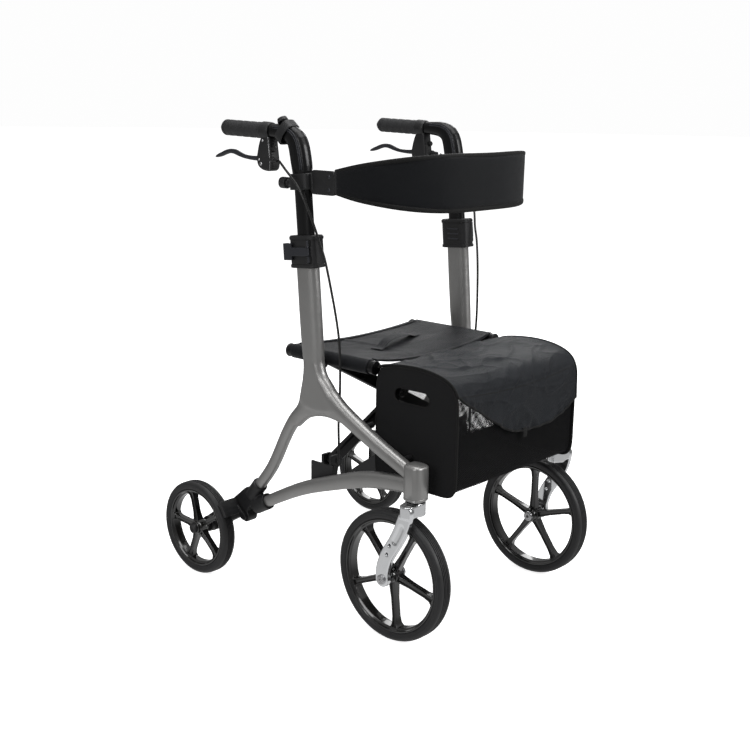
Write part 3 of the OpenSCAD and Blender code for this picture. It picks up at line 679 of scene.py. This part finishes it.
def height_clamps():
    """Split collars with a band at each end, screw bosses and, inside, a ribbed pad."""
    pair("height_collar", refined("right_height_clamp"), PLASTIC, "black_plastic", "frame",
         "height_clamp", bevel=1.4 * MM, segments=3)
    low, high = corners("right_height_clamp")
    length = high.z - low.z
    bands = []
    for share in (0.08, 0.88):
        path = [(*mast_place(low.z + length * share + z * MM), 34.2 * MM, 19.9 * MM)
                for z in (-3.4, -2.6, 2.6, 3.4)]
        path[0] = (*path[0][:3], 32.6 * MM, 18.4 * MM)
        path[-1] = (*path[-1][:3], 32.6 * MM, 18.4 * MM)
        bands.append(new_sweep(path, rounded(4, 48)))
    pair("collar_bands", joined(*bands), PLASTIC, "black_plastic", "frame", crease=30)
    ribs = []
    for step in (0.32, 0.48, 0.64):
        spot = mast_place(low.z + length * step, x=18.6 * MM)
        path = [(spot.x, spot.y + y * MM, spot.z, 1.5 * MM, w * MM) for y, w in (
            (-16, 0.5), (-14, 1.5), (10, 1.5), (12, 0.5))]
        ribs.append(new_sweep(path, rounded(3, 16)))
    pair("collar_ribs", joined(*ribs), LEVER_PLASTIC, "black_plastic", "frame", crease=30)
    pair("clamp_lever", refined("right_lock_lever"), LEVER_PLASTIC, "black_plastic", "lock_lever",
         "lock_lever", bevel=1.2 * MM, segments=3)


def fold_parts():
    pair("pivot_clevis", refined("right_pivot_bracket"), PLASTIC, "black_plastic", "frame",
         "pivot_bracket", bevel=0.9 * MM)
    pair("seat_saddle", refined("right_supports"), PLASTIC, "black_plastic", "frame",
         "supports", bevel=0.8 * MM)
    bars = {"a": ("cross_bar_a", "left"), "b": ("cross_bar_b", "right")}
    for letter, (body, rail_side) in bars.items():
        bar = piece(f"cross_tube_{letter}", refined(body), TUBE, bevel=3.2 * MM, segments=4)
        settle(bar, body, "black_tube", body)
        rail = piece(f"{rail_side}_rail_tube", refined(f"{rail_side}_seat_rail"), TUBE,
                     bevel=0.9 * MM)
        settle(rail, body, "black_tube", f"{rail_side}_seat_rail")
    bolt = piece("crossing_bolt", refined("cross_bolt"), STEEL, bevel=0.5 * MM)
    settle(bolt, "cross_bar_a", "steel", "cross_bolt")


# ---- handles ----

NECK = [(2, 856, 20, 14), (5, 878, 21.5, 15), (15, 914, 20.5, 15), (35, 929, 17, 14.5),
        (68, 932, 14, 13.5), (103, 932, 12.5, 12.5)]


def handle_posts():
    post = cast(["right_handle_tube"], 1.6 * MM, 4)
    pair("handle_post", post, TUBE, "black_tube", "handle", "handle_tube", crease=180)
    route = smooth_path(NECK, 5)
    beads = []
    for face in (-1, 1):
        for share in (0.42, 0.62):
            path = []
            for i, (y, z, w, t) in enumerate(route[2:21]):
                ahead, behind = route[i + 3], route[i + 1]
                along = Vector((0, ahead[0] - behind[0], ahead[1] - behind[1])).normalized()
                outward = Vector((0, -along.z, along.y))
                spot = Vector((0, y, z)) * MM + outward * w * share * MM
                path.append((SIDE_X + face * t * 0.955 * MM, spot.y, spot.z, 1.3 * MM, 0.9 * MM))
            beads.append(new_sweep(path, rounded(2, 10)))
    pair("neck_beads", joined(*beads), LEVER_PLASTIC, "black_plastic", "handle", crease=180)


def grips():
    """Rubber sleeve with a collar at the neck, shallow finger grooves and a round end."""
    start = Vector((SIDE_X, GRIP_LOW.y, GRIP_LOW.z + 17.2 * MM))
    along = Vector((0, math.cos(math.radians(1.5)), math.sin(math.radians(1.5))))
    outline = [(13, -1), (16.2, -1), (17, 0), (17, 4), (16.4, 5.6), (15.3, 6.6)]
    for k in range(5):
        at = 12 + 20 * k
        outline += [(15.5, at), (15.5, at + 7), (14.9, at + 9), (14.8, at + 12), (15.3, at + 15)]
    outline += [(15.5, 106), (15.4, 110), (14.4, 112), (7.4, 120.4), (6, 121), (0, 121)]
    pair("rubber_grip", new_turned(mm(outline), start, along, 40), RUBBER, "grip_rubber", "handle",
         "grip", crease=60)


def brakes():
    """A flat pear-shaped housing under the neck, with a bright seam, and its long lever."""
    low, high = corners("right_brake_lever")
    pivot = Vector((SIDE_X, low.y + 11 * MM, high.z - 11 * MM))

    def by_pivot(outline, x):
        return [pivot + Vector((x, y, z)) * MM for y, z in outline]

    pear = smooth_path([(-20, 37), (-12, 42), (0, 40), (8, 28), (13, 12), (16, -4), (13, -17),
                        (4, -24), (-8, -27), (-20, -26.5), (-26, -20), (-26.5, -8), (-23.5, 14),
                        (-20, 37)], 3)[:-1]
    shell = plate(by_pivot(pear, -12), (24 * MM, 0, 0), 4.2 * MM, 4)
    collar_mid = Vector((SIDE_X, pivot.y + 1 * MM, GRIP_LOW.z + 16.6 * MM))
    ring = [(0, -19), (15.6, -19), (16.6, -17), (17.4, -6), (17.4, 3), (16.6, 4), (0, 4)]
    collar = new_turned(mm(ring), collar_mid, (0, 1, 0), 36)
    nose = [(0, -6), (5, -6), (5.6, 0), (5.6, 6), (4.0, 8), (4.0, 16), (3.2, 17), (0, 17)]
    barrel = new_turned(mm(nose), pivot + Vector((-8, -25, -5)) * MM, (-3, -22, -2), 24)
    boss = [(0, 0), (4.6, 0), (5.4, 1), (5.4, 8), (4, 9.4), (0, 9.4)]
    screw = new_turned(mm(boss), pivot + Vector((-4, -20, 14)) * MM, (0, -1, 0.1), 20)
    body = joined(shell, collar, barrel, screw)
    pair("brake_shell", body, PLASTIC, "black_plastic", "handle", "brake_housing", crease=34)
    line = smooth_path([(-17, 37), (-20, 12), (-22.5, -9), (-21.5, -24)], 5)
    strip = thick([(pivot.x - 11.6 * MM, pivot.y + y * MM, pivot.z + z * MM) for y, z in line],
                  0.9, 0.8)
    rounds = []
    for y, z, r in ((3, -14, 3.4), (8, -6, 2.4), (-2, 30, 2.6)):
        dome = [(0, 0.9), (r * 0.6, 0.8), (r, 0.1), (r, -0.6), (0, -0.6)]
        rounds.append(new_turned(mm(dome), pivot + Vector((-12, y, z)) * MM, -ACROSS, 20))
    pair("housing_trim", joined(new_sweep(strip, rounded(2, 8)), *rounds), STEEL, "steel", "handle",
         crease=40)
    path = [(-6, 0, 6, 4.4), (4, -2, 6.6, 4.4), (14, -4, 5.4, 4.4), (28, -5, 4.6, 4.4),
            (44, -4.6, 4, 4.4), (60, -3, 3.8, 4.4), (71, -0.5, 4.2, 4.4), (84, 3.4, 4.8, 4.4),
            (92, 5.2, 4.6, 4.4), (104, 5.4, 4.4, 4.4), (116, 2.6, 4.4, 4.4), (126, -1, 4.2, 4.4),
            (134, -3.4, 3.8, 4.2), (141, -5.6, 2.8, 4), (145, -7, 1.6, 3)]
    route = [(pivot.x, pivot.y + y * MM, pivot.z + z * MM, w * MM, t * MM)
             for y, z, w, t in smooth_path(path, 4)]
    pair("lever_blade", new_sweep(route, rounded(3, 20)), LEVER_PLASTIC, "black_plastic",
         "brake_lever", "brake_lever", crease=60)


def strap_brackets():
    shape = cast(["right_backrest_bracket"], 1.2 * MM, 2)
    pair("strap_bracket", shape, PLASTIC, "black_plastic", "handle", "backrest_bracket", crease=180)
    low = corners("right_backrest_bracket")[0]
    rivets = []
    for z in (-12, 12):
        dome = mm([(0, 1.4), (2.4, 1.2), (4, 0.4), (4.2, 0), (0, 0)])
        rivets.append(new_turned(dome, (SIDE_X - 2 * MM, low.y + 14 * MM, (842 + z) * MM),
                                 -ACROSS, 20))
    pair("plate_rivets", joined(*rivets), LEVER_PLASTIC, "steel", "handle", crease=50)


def clip():
    shape = cast(["stick_clip"], 1.0 * MM, 3)
    obj = piece("stick_holder", shape, PLASTIC, crease=180)
    settle(obj, "right_handle", "black_plastic", "stick_clip")


# ---- cables ----

CABLE = [
    (-240, 52, 877), (-250, 24, 862), (-252, -6, 838), (-250, -28, 805), (-243, -44, 762),
    (-236, -53, 728), (-232, -62, 698), (-226, -71, 647), (-219, -78, 593), (-214, -82, 545),
    (-211, -82, 495), (-209, -80, 440), (-208, -76, 385), (-208, -77, 330), (-211, -75, 290),
    (-218, -70, 270)]
REAR_CABLE = [(-206, 96, 192), (-209, 118, 174), (-212, 134, 156), (-216, 152, 145)]


def cables():
    """Two runs a side: handle to lower bar, left where it is built, and lower bar to rear joint, riding
    on the frame.
    """
    for side in SIDES:
        for name, points in (("long_cable", CABLE), ("short_cable", REAR_CABLE)):
            path = thick(mm(smooth_path(points, 4)), 2.4)
            bm = new_sweep(path, rounded(2, 12), across=Vector((1, 0.01, 0)))
            if side == "left":
                mirror(bm)
            run = piece(f"{side}_{name}", bm, SHEATH, crease=60)
            if name == "long_cable":
                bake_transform(run)
                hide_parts(f"{side}_brake_cable")
            else:
                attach(run, f"{side}_frame")


# ---- seat ----

def seat_sling():
    """A length of nylon that wraps round both rails, sags between them and is a little creased."""
    rail = middle("right_seat_rail")
    radius = 14.2 * MM
    half = abs(rail.x)
    wrap = 230
    slack = 10 * MM
    section = []
    for k in range(13):
        angle = math.radians(-40 - wrap * k / 12)
        section.append((-half + radius * math.cos(angle), rail.z + radius * math.sin(angle)))
    for k in range(1, 10):
        x = -half + half * k / 10
        share = (x / half) ** 2
        section.append((x, rail.z + radius - slack * (1 - share)))
    whole = section + [(0, rail.z + radius - slack)] + [(-x, z) for x, z in reversed(section)]
    whole = smooth_path(whole, 3)

    def droop(x, y):
        """How far the free front edge reaches forward, and hangs, at a point of the sheet."""
        share = math.exp(-(y - SEAT_LOW.y) / (16 * MM)) * max(0.0, 1 - (abs(x) / half) ** 4)
        return 12 * MM * share, 7 * MM * share

    rows = 56
    bm = bmesh.new()
    line = [bm.verts.new((x, SEAT_LOW.y, z)) for x, z in whole]
    edges = [bm.edges.new(p) for p in zip(line, line[1:])]
    length = SEAT_HIGH.y - SEAT_LOW.y
    for _ in range(rows):
        grown = bmesh.ops.extrude_edge_only(bm, edges=edges)["geom"]
        edges = [g for g in grown if isinstance(g, bmesh.types.BMEdge)]
        bmesh.ops.translate(bm, vec=(0, length / rows, 0),
                            verts=[g for g in grown if isinstance(g, bmesh.types.BMVert)])
    for v in bm.verts:
        inside = max(0.0, 1 - (abs(v.co.x) / (half + 2 * MM)) ** 4)
        if v.co.z > rail.z:
            fold = noise.noise(Vector((v.co.x * 9, v.co.y * 26, 3.7)))
            ripple = noise.noise(Vector((v.co.x * 30, v.co.y * 55, 1.3)))
            v.co.z += inside * (2.4 * fold + 0.8 * ripple) * MM
            crease = math.exp(-((v.co.x + 52 * MM) / (7 * MM)) ** 2)
            v.co.z += 3.2 * MM * crease * inside * (0.6 + 0.4 * math.cos(v.co.y * 22))
        edge = min(v.co.y - SEAT_LOW.y, SEAT_HIGH.y - v.co.y)
        v.co.z += 1.2 * MM * math.exp(-edge / (4 * MM)) * inside
        reach, drop = droop(v.co.x, v.co.y)
        v.co.y -= reach
        v.co.z -= drop
    bmesh.ops.recalc_face_normals(bm, faces=bm.faces)
    sling = piece("seat_sheet", bm, SEAT_CLOTH, crease=180)
    wall = sling.modifiers.new("cloth", "SOLIDIFY")
    wall.thickness = 1.6 * MM
    wall.offset = -1
    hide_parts("seat_sling")

    def at(x, y, lift):
        sag = slack * (1 - (x / half) ** 2)
        reach, drop = droop(x, y)
        return (x, y - reach, rail.z + radius - sag - drop + lift)

    hems = []
    for y in (SEAT_LOW.y + 5 * MM, SEAT_HIGH.y - 5 * MM):
        path = [(*at(x * MM, y, 1.4 * MM), 0.8 * MM, 5 * MM) for x in range(-176, 177, 11)]
        hems.append(new_sweep(path, rounded(4, 12), across=Vector((0, 1, 0))))
    hem = piece("seat_hems", joined(*hems), SEAT_CLOTH, crease=60)
    spots = [(-88, -62, 1.5), (-70, -58, 3), (-40, -50, 13), (0, -38, 15), (40, -27, 11),
             (70, -20, 3), (88, -15, 1.5)]
    pull_path = smooth_path(thick([at(*(v * MM for v in spot)) for spot in spots], 0.8, 12), 6)
    pull = piece("pull_strap", new_sweep(pull_path, rounded(4, 12), across=Vector((0.3, 1, 0))),
                 SEAT_CLOTH, crease=60)
    for cloth in (sling, hem, pull):
        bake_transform(cloth)


# ---- back strap ----

def strap_stations():
    """(x, y, half height, middle height) from the right bracket to the middle of the bow."""
    back, bow = STRAP_HIGH.y, STRAP_HIGH.y - STRAP_LOW.y - 4.5 * MM
    mid = (STRAP_LOW.z + STRAP_HIGH.z) / 2
    rows = [(-227, 0, 45), (-217, 0.32, 70), (-177, 0.7, 94), (-111, 0.93, 105), (0, 1, 105)]
    half = [(x * MM, back - bow * share, h / 2 * MM, mid + (h * 0.03 - 3.2) * MM)
            for x, share, h in rows]
    return smooth_path(half + [(-x, y, h, z) for x, y, h, z in reversed(half[:-1])], 8)


def plump(obj, voxel, pressure, cap):
    """Swells a closed cloth shape as stuffing does, and keeps every point within cap of its place."""
    skin = obj.modifiers.new("skin", "REMESH")
    skin.mode = "VOXEL"
    skin.voxel_size = voxel
    shape = obj.evaluated_get(bpy.context.evaluated_depsgraph_get()).to_mesh()
    bm = bmesh.new()
    bm.from_mesh(shape)
    obj.modifiers.remove(skin)
    bm.to_mesh(obj.data)
    bm.free()
    rest = [v.co.copy() for v in obj.data.vertices]
    cloth = obj.modifiers.new("stuffing", "CLOTH")
    cloth.settings.use_pressure = True
    cloth.settings.uniform_pressure_force = pressure
    cloth.settings.effector_weights.gravity = 0
    scene = bpy.context.scene
    for number in range(1, 21):
        scene.frame_set(number)
    swollen = obj.evaluated_get(bpy.context.evaluated_depsgraph_get()).to_mesh()
    places = [v.co.copy() for v in swollen.vertices]
    obj.modifiers.remove(cloth)
    scene.frame_set(1)
    for vert, old, new in zip(obj.data.vertices, rest, places):
        move = new - old
        if move.length > cap:
            move *= cap / move.length
        vert.co = old + move


def back_strap():
    """Padded band that tapers to its end plates, with a bound edge above and below."""
    stations = strap_stations()
    path = [(x, y, z, 3.4 * MM, h - 1.5 * MM) for x, y, h, z in stations]
    band = piece("back_band", new_sweep(path, rounded(7, 36), across=UP), STRAP_CLOTH, crease=180)
    plump(band, 4 * MM, 3, 3 * MM)
    band.data.polygons.foreach_set("use_smooth", [True] * len(band.data.polygons))
    rounder = band.modifiers.new("rounder", "SUBSURF")
    rounder.levels = rounder.render_levels = 1
    settle(band, "right_handle", "strap_fabric", "backrest_strap")
    edges = []
    for sign in (-1, 1):
        path = [(x, y, z + sign * (h - 3.8 * MM), 4.8 * MM, 4.6 * MM) for x, y, h, z in stations]
        edges.append(new_sweep(path, rounded(3, 16), across=UP))
    ends = []
    for run in (stations[:2], stations[-2:]):
        path = [(x, y, z, 5.2 * MM, h + 0.6 * MM) for x, y, h, z in run]
        ends.append(new_sweep(path, rounded(6, 28), across=UP))
    binding = piece("band_binding", joined(*edges), PIPING, crease=60)
    tips = piece("band_tips", joined(*ends), PLASTIC, crease=40, bevel=0.5 * MM)
    settle(binding, "right_handle", "strap_fabric")
    settle(tips, "right_handle", "black_plastic")
    for soft in (band, binding, tips):
        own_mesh(soft)


# ---- bag ----

BAG_SIDE = [(-162, 491), (-170, 503), (-187, 510), (-222, 515), (-262, 516), (-300, 511),
            (-326, 502), (-342, 489), (-350, 468), (-351.5, 420), (-351.5, 360), (-351, 318),
            (-346, 300), (-332, 291), (-300, 290), (-260, 290), (-215, 290), (-180, 290.5),
            (-165, 297), (-158.5, 314), (-158.2, 370), (-158.2, 430), (-158.6, 470)]


def bag_panels():
    """Stiff sides with a hand slot, piped round the edge."""
    outline = smooth_path(BAG_SIDE + [BAG_SIDE[0]], 4)[:-1]
    slot_mid = (mix(PANEL_HIGH.y, PANEL_LOW.y, 0.45), PANEL_HIGH.z - 45 * MM)
    slot = []
    for k in range(32):
        turn = 2 * math.pi * (k + 0.5) / 32
        slide = math.copysign(29 * MM, math.cos(turn))
        slot.append((slot_mid[0] + slide + 13.5 * MM * math.cos(turn),
                     slot_mid[1] + 13.5 * MM * math.sin(turn)))
    x = PANEL_LOW.x
    bm = bmesh.new()
    loops = []
    for ring in ([(y * MM, z * MM) for y, z in outline], slot):
        verts = [bm.verts.new((x + 1 * MM, y, z)) for y, z in ring]
        loops += [bm.edges.new((a, b)) for a, b in zip(verts, verts[1:] + verts[:1])]
    bmesh.ops.triangle_fill(bm, edges=loops, use_beauty=True)
    grown = bmesh.ops.extrude_face_region(bm, geom=list(bm.faces))["geom"]
    bmesh.ops.translate(bm, vec=(3.6 * MM, 0, 0),
                        verts=[g for g in grown if isinstance(g, bmesh.types.BMVert)])
    bmesh.ops.recalc_face_normals(bm, faces=bm.faces)
    pair("bag_side", bm, BOARD_CLOTH, "bag_board", "frame", "bag_panel", crease=40, bevel=0.6 * MM)
    rims = []
    ring = thick([(x + 2.6 * MM, y * MM, z * MM) for y, z in outline], 2.4)
    rims.append(new_sweep(ring, rounded(2, 12), closed=True))
    ring = thick([(x + 1.6 * MM, y, z) for y, z in slot], 1.2, 1.6)
    rims.append(new_sweep(ring, rounded(2, 10), closed=True))
    pair("bag_piping", joined(*rims), PIPING, "bag_board", "frame", crease=60)


def mix(a, b, share):
    return a + (b - a) * share


def cloth_wall(name, rows, columns, place, finish, thickness):
    """A sheet whose point at row and column shares comes from place, built by extruding its edge."""
    bm = bmesh.new()
    line = [bm.verts.new(place(0, c / columns)) for c in range(columns + 1)]
    edges = [bm.edges.new(p) for p in zip(line, line[1:])]
    grid = [line]
    for row in range(1, rows + 1):
        grown = bmesh.ops.extrude_edge_only(bm, edges=edges)["geom"]
        edges = [g for g in grown if isinstance(g, bmesh.types.BMEdge)]
        fresh = [g for g in grown if isinstance(g, bmesh.types.BMVert)]
        fresh.sort(key=lambda v: v.co.x)
        for c, v in enumerate(fresh):
            v.co = place(row / rows, c / columns)
        grid.append(fresh)
    bmesh.ops.recalc_face_normals(bm, faces=bm.faces)
    obj = piece(name, bm, finish, crease=180)
    wall = obj.modifiers.new("cloth", "SOLIDIFY")
    wall.thickness = thickness
    wall.offset = 0
    return obj


def lengths(path):
    return [0.0] + [sum((Vector(b) - Vector(a)).length for a, b in zip(path[:i], path[1:i + 1]))
                    for i in range(1, len(path))]


def along_path(path, sums, distance):
    """The point at a distance along a path, given its running lengths."""
    for i in range(1, len(path)):
        if distance <= sums[i] or i == len(path) - 1:
            share = (distance - sums[i - 1]) / max(1e-9, sums[i] - sums[i - 1])
            return Vector(path[i - 1]).lerp(Vector(path[i]), min(1.0, max(0.0, share)))


def bag_walls():
    """One net and cloth piece: down the back, under the floor and up the front."""
    half = abs(PANEL_HIGH.x) - 2 * MM
    back = [(-161, 505), (-161, 440), (-161, 380), (-161, 320), (-166, 300), (-182, 293)]
    floor = [(-220, 291.5), (-262, 291), (-300, 291.5), (-330, 294)]
    front = [(-344, 302), (-348.5, 322), (-348.5, 370), (-348.5, 420), (-347.5, 464), (-343, 480)]
    route = [(y * MM, z * MM) for y, z in smooth_path(back + floor + front, 4)]
    sums = lengths([(y, z, 0) for y, z in route])
    total = sums[-1]

    def place(row, column):
        x = mix(-half, half, column)
        y, z, _ = along_path([(a, b, 0) for a, b in route], sums, total * row)
        middle_share = 1 - (x / half) ** 2
        sag = 8 * MM * middle_share * math.sin(math.pi * min(1, max(0, (row - 0.30) / 0.32)))
        bow = 2.5 * MM * middle_share * math.sin(math.pi * min(1, max(0, (row - 0.66) / 0.34)))
        ripple = 1.4 * MM * noise.noise(Vector((x * 14, row * 9, 5.1))) * middle_share
        return (x, y - bow + ripple * 0.6, z - sag * 0.6 + ripple)

    body = cloth_wall("bag_net_body", 72, 44, place, NET, 0.8 * MM)
    settle(body, "right_frame", "bag_board", "bag_body")

    low_row, high_row = 0.33, 0.66

    def floor_place(row, column):
        x, y, z = place(mix(low_row, high_row, row), column)
        return (x, y, z + 0.9 * MM)

    base = cloth_wall("bag_floor", 26, 20, floor_place, BOARD_CLOTH, 0.8 * MM)
    settle(base, "right_frame", "bag_board")
    mouth = [thick([place(row, c / 40) for c in range(41)], 2) for row in (1.0, 0.0)]
    trims = joined(*(new_sweep(path, rounded(2, 10), across=UP) for path in mouth))
    trim = piece("bag_mouth_binding", trims, PIPING, crease=60)
    settle(trim, "right_frame", "bag_board")
    for soft in (body, base, trim):
        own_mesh(soft)


HEM = [(-187, 482), (-171, 467), (-138, 449), (-90, 419), (-42, 394), (-9, 385), (41, 381), (92, 383),
       (144, 393), (187, 415)]


def bag_flap():
    """Lid of wrinkled nylon over the top and down the front, with a curved, piped hem."""
    half = abs(PANEL_LOW.x) - 2.5 * MM
    route = smooth_path([
        (-161, 505.5), (-168, 510), (-187, 514.5), (-222, 518.5), (-262, 519.5), (-300, 515),
        (-329, 505.5), (-346, 491), (-354, 470), (-355.5, 440), (-356.5, 410), (-357.5, 380)], 6)
    path = [(y * MM, z * MM, 0) for y, z in route]
    sums = lengths(path)
    full = sums[-1]
    hem_line = [(x * MM, z * MM, 0) for x, z in smooth_path(HEM, 8)]
    bend = full - 106 * MM
    route_end = 380 * MM

    def hem_length(x):
        """How far along the route the hem is, at a place across."""
        for a, b in zip(hem_line, hem_line[1:]):
            if x <= b[0] or b is hem_line[-1]:
                share = min(1.0, max(0.0, (x - a[0]) / (b[0] - a[0])))
                return full - (mix(a[1], b[1], share) - route_end)

    def place(row, column):
        x = mix(-half, half, column)
        d = hem_length(x) * row
        y, z, _ = along_path(path, sums, d)
        inner = 1 - (abs(x) / half) ** 6
        on_top = max(0.0, min(1.0, (bend - d) / (60 * MM)))
        sag = 6.5 * MM * on_top * (1 - (x / half) ** 2) * math.sin(math.pi * min(1, d / bend))
        folds = noise.noise(Vector((x * 11 + 2.2, d * 17, 8.4)))
        creases = noise.noise(Vector((x * 30, d * 34 + x * 20, 2.9)))
        slant = 1 - 2 * abs(noise.noise(Vector((x * 13 + d * 16, d * 9 - x * 8, 6.6))))
        cross = 1 - 2 * abs(noise.noise(Vector((x * 9 - d * 22, d * 14 + x * 5, 1.7))))
        ridges = max(0.0, slant) ** 3 * 3.4 + max(0.0, cross) ** 4 * 2.6
        lift = (2.4 * folds + 1.4 * creases + ridges - 2.2) * MM * inner
        gather = math.sin(x * 210 + 3 * math.sin(x * 37)) * 1.2 * MM * inner
        gather *= max(0.0, row - 0.84) / 0.16
        seam = 1.3 * MM * math.exp(-((d - seam_length(x)) / (3 * MM)) ** 2) * inner
        front = 1 - on_top
        push = max(-1.4 * MM, lift) * front
        return (x, y - push + seam * front - gather, z - sag + lift * on_top - seam * on_top)

    def seam_length(x):
        return bend + 12 * MM * (1 - (x / half) ** 2)

    flap = cloth_wall("bag_lid", 110, 128, place, FLAP_CLOTH, 0.9 * MM)
    settle(flap, "bag_flap", "nylon", "bag_flap")
    hem_path = thick([place(1.0, c / 128) for c in range(129)], 2.3)
    sides = [new_sweep(thick([place(r / 60, c) for r in range(61)], 2), rounded(2, 10))
             for c in (0.0, 1.0)]
    stitch_path = []
    for c in range(1, 128):
        x = mix(-half, half, c / 128)
        x, y, z = place((seam_length(x) + 4 * MM) / hem_length(x), c / 128)
        stitch_path.append((x, y - 0.5 * MM, z))
    trims = joined(new_sweep(hem_path, rounded(2, 12), across=Vector((0, 1, 0.02))), *sides,
                   new_sweep(thick(stitch_path, 0.9, 0.6), rounded(2, 8), across=Vector((0, 1, 0.02))))
    trim = piece("lid_piping", trims, PIPING, crease=60)
    settle(trim, "bag_flap", "nylon")
    x, y, z = place(1.0, 0.52)
    hang = [(x, y - 0.5 * MM, z + 6 * MM), (x, y - 2.4 * MM, z - 2 * MM),
            (x, y - 2.0 * MM, z - 12 * MM)]
    tab_path = smooth_path(thick(hang, 6, 0.9), 4)
    tab = piece("lid_tab", new_sweep(tab_path, rounded(4, 12), across=Vector((0, 1, 0))), PIPING,
                crease=60)
    settle(tab, "bag_flap", "nylon")
    for soft in (flap, trim, tab):
        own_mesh(soft)


# ---- studio ----

def sky():
    """Soft white above and below with a dimmer band at eye level; the camera sees plain white."""
    world = bpy.data.worlds.new("studio_light")
    bpy.context.scene.world = world
    world.use_nodes = True
    g = Graph(world.node_tree)
    ray = g.node("ShaderNodeTexCoord", output="Generated")
    height = g.node("ShaderNodeSeparateXYZ", {}, {0: ray}, "Z")
    below = g.node("ShaderNodeMapRange", {}, {0: height, 1: -0.45, 2: -0.05, 3: 0.62, 4: 0.16})
    above = g.node("ShaderNodeMapRange", {}, {0: height, 1: 0.05, 2: 0.6, 3: 0.0, 4: 0.2})
    fill = g.node("ShaderNodeBackground", {}, {0: (1, 1, 1, 1), 1: below + above})
    seen = g.node("ShaderNodeBackground", {}, {0: (1, 1, 1, 1), 1: 0.985})
    rays = g.node("ShaderNodeLightPath", output="Is Camera Ray")
    mixed = g.node("ShaderNodeMixShader", {}, {0: rays, 1: fill, 2: seen})
    g.node("ShaderNodeOutputWorld", {}, {0: mixed})


def ground():
    """A plain pale floor that catches the shadows and throws no light back."""
    bm = bmesh.new()
    bmesh.ops.create_circle(bm, cap_ends=True, segments=64, radius=30)
    pale = Finish("studio_floor", Specular_IOR_Level=0.0, Emission_Color=(1, 1, 1, 1),
                  Emission_Strength=0.84)
    pale.wear("Base Color", pale.blend(pale.speckle(3, 2), (0.88, 0.88, 0.88), (0.91, 0.91, 0.91)))
    pale.wear("Roughness", 0.9)
    floor = piece("studio_ground", bm, pale.material)
    floor.visible_glossy = False
    floor.visible_diffuse = False


def lamps():
    panels = {
        "overhead_panel": ((0.2, -0.3, 3.6), (0, 0, 0.3), 3.0, 80),
        "front_panel": ((1.3, -3.4, 2.2), (0, 0, 0.5), 1.6, 75),
        "near_panel": ((-3.4, -0.2, 1.9), (0, 0, 0.5), 1.5, 26),
        "far_panel": ((3.0, 1.8, 2.2), (0, 0, 0.6), 1.6, 24),
    }
    for name, (place, aim, size, power) in panels.items():
        light = bpy.data.lights.new(name, "AREA")
        light.size = size
        light.energy = power
        lamp = bpy.data.objects.new(name, light)
        bpy.context.scene.collection.objects.link(lamp)
        lamp.location = place
        lamp.rotation_euler = (Vector(aim) - Vector(place)).to_track_quat("-Z", "Y").to_euler()
    bpy.context.scene.view_settings.view_transform = "Standard"


def studio():
    sky()
    ground()
    lamps()


def camera():
    """Off the right front corner, at chest height, looking slightly down."""
    yaw, pitch, roll = (math.radians(a) for a in (48.14, -13.4, 0.82))
    ahead = Vector((math.cos(pitch) * math.sin(yaw), math.cos(pitch) * math.cos(yaw), math.sin(pitch)))
    level = Vector((math.cos(yaw), -math.sin(yaw), 0))
    above = level.cross(ahead)
    right = level * math.cos(roll) + above * math.sin(roll)
    top = above * math.cos(roll) - level * math.sin(roll)
    pose = Matrix((right, top, -ahead)).transposed().to_4x4()
    pose.translation = (-1.8089, -1.6031, 1.0072)
    data = bpy.data.cameras.new("studio_camera")
    data.lens = 57.09
    data.sensor_width = 36
    eye = bpy.data.objects.new("studio_camera", data)
    bpy.context.scene.collection.objects.link(eye)
    eye.matrix_world = pose
    bpy.context.scene.camera = eye


camera()
studio()
wheels()
axle_ends()
side_frames()
head_tubes()
rear_brackets()
casters()
height_clamps()
fold_parts()
handle_posts()
grips()
brakes()
strap_brackets()
clip()
cables()
seat_sling()
back_strap()
bag_panels()
bag_walls()
bag_flap()
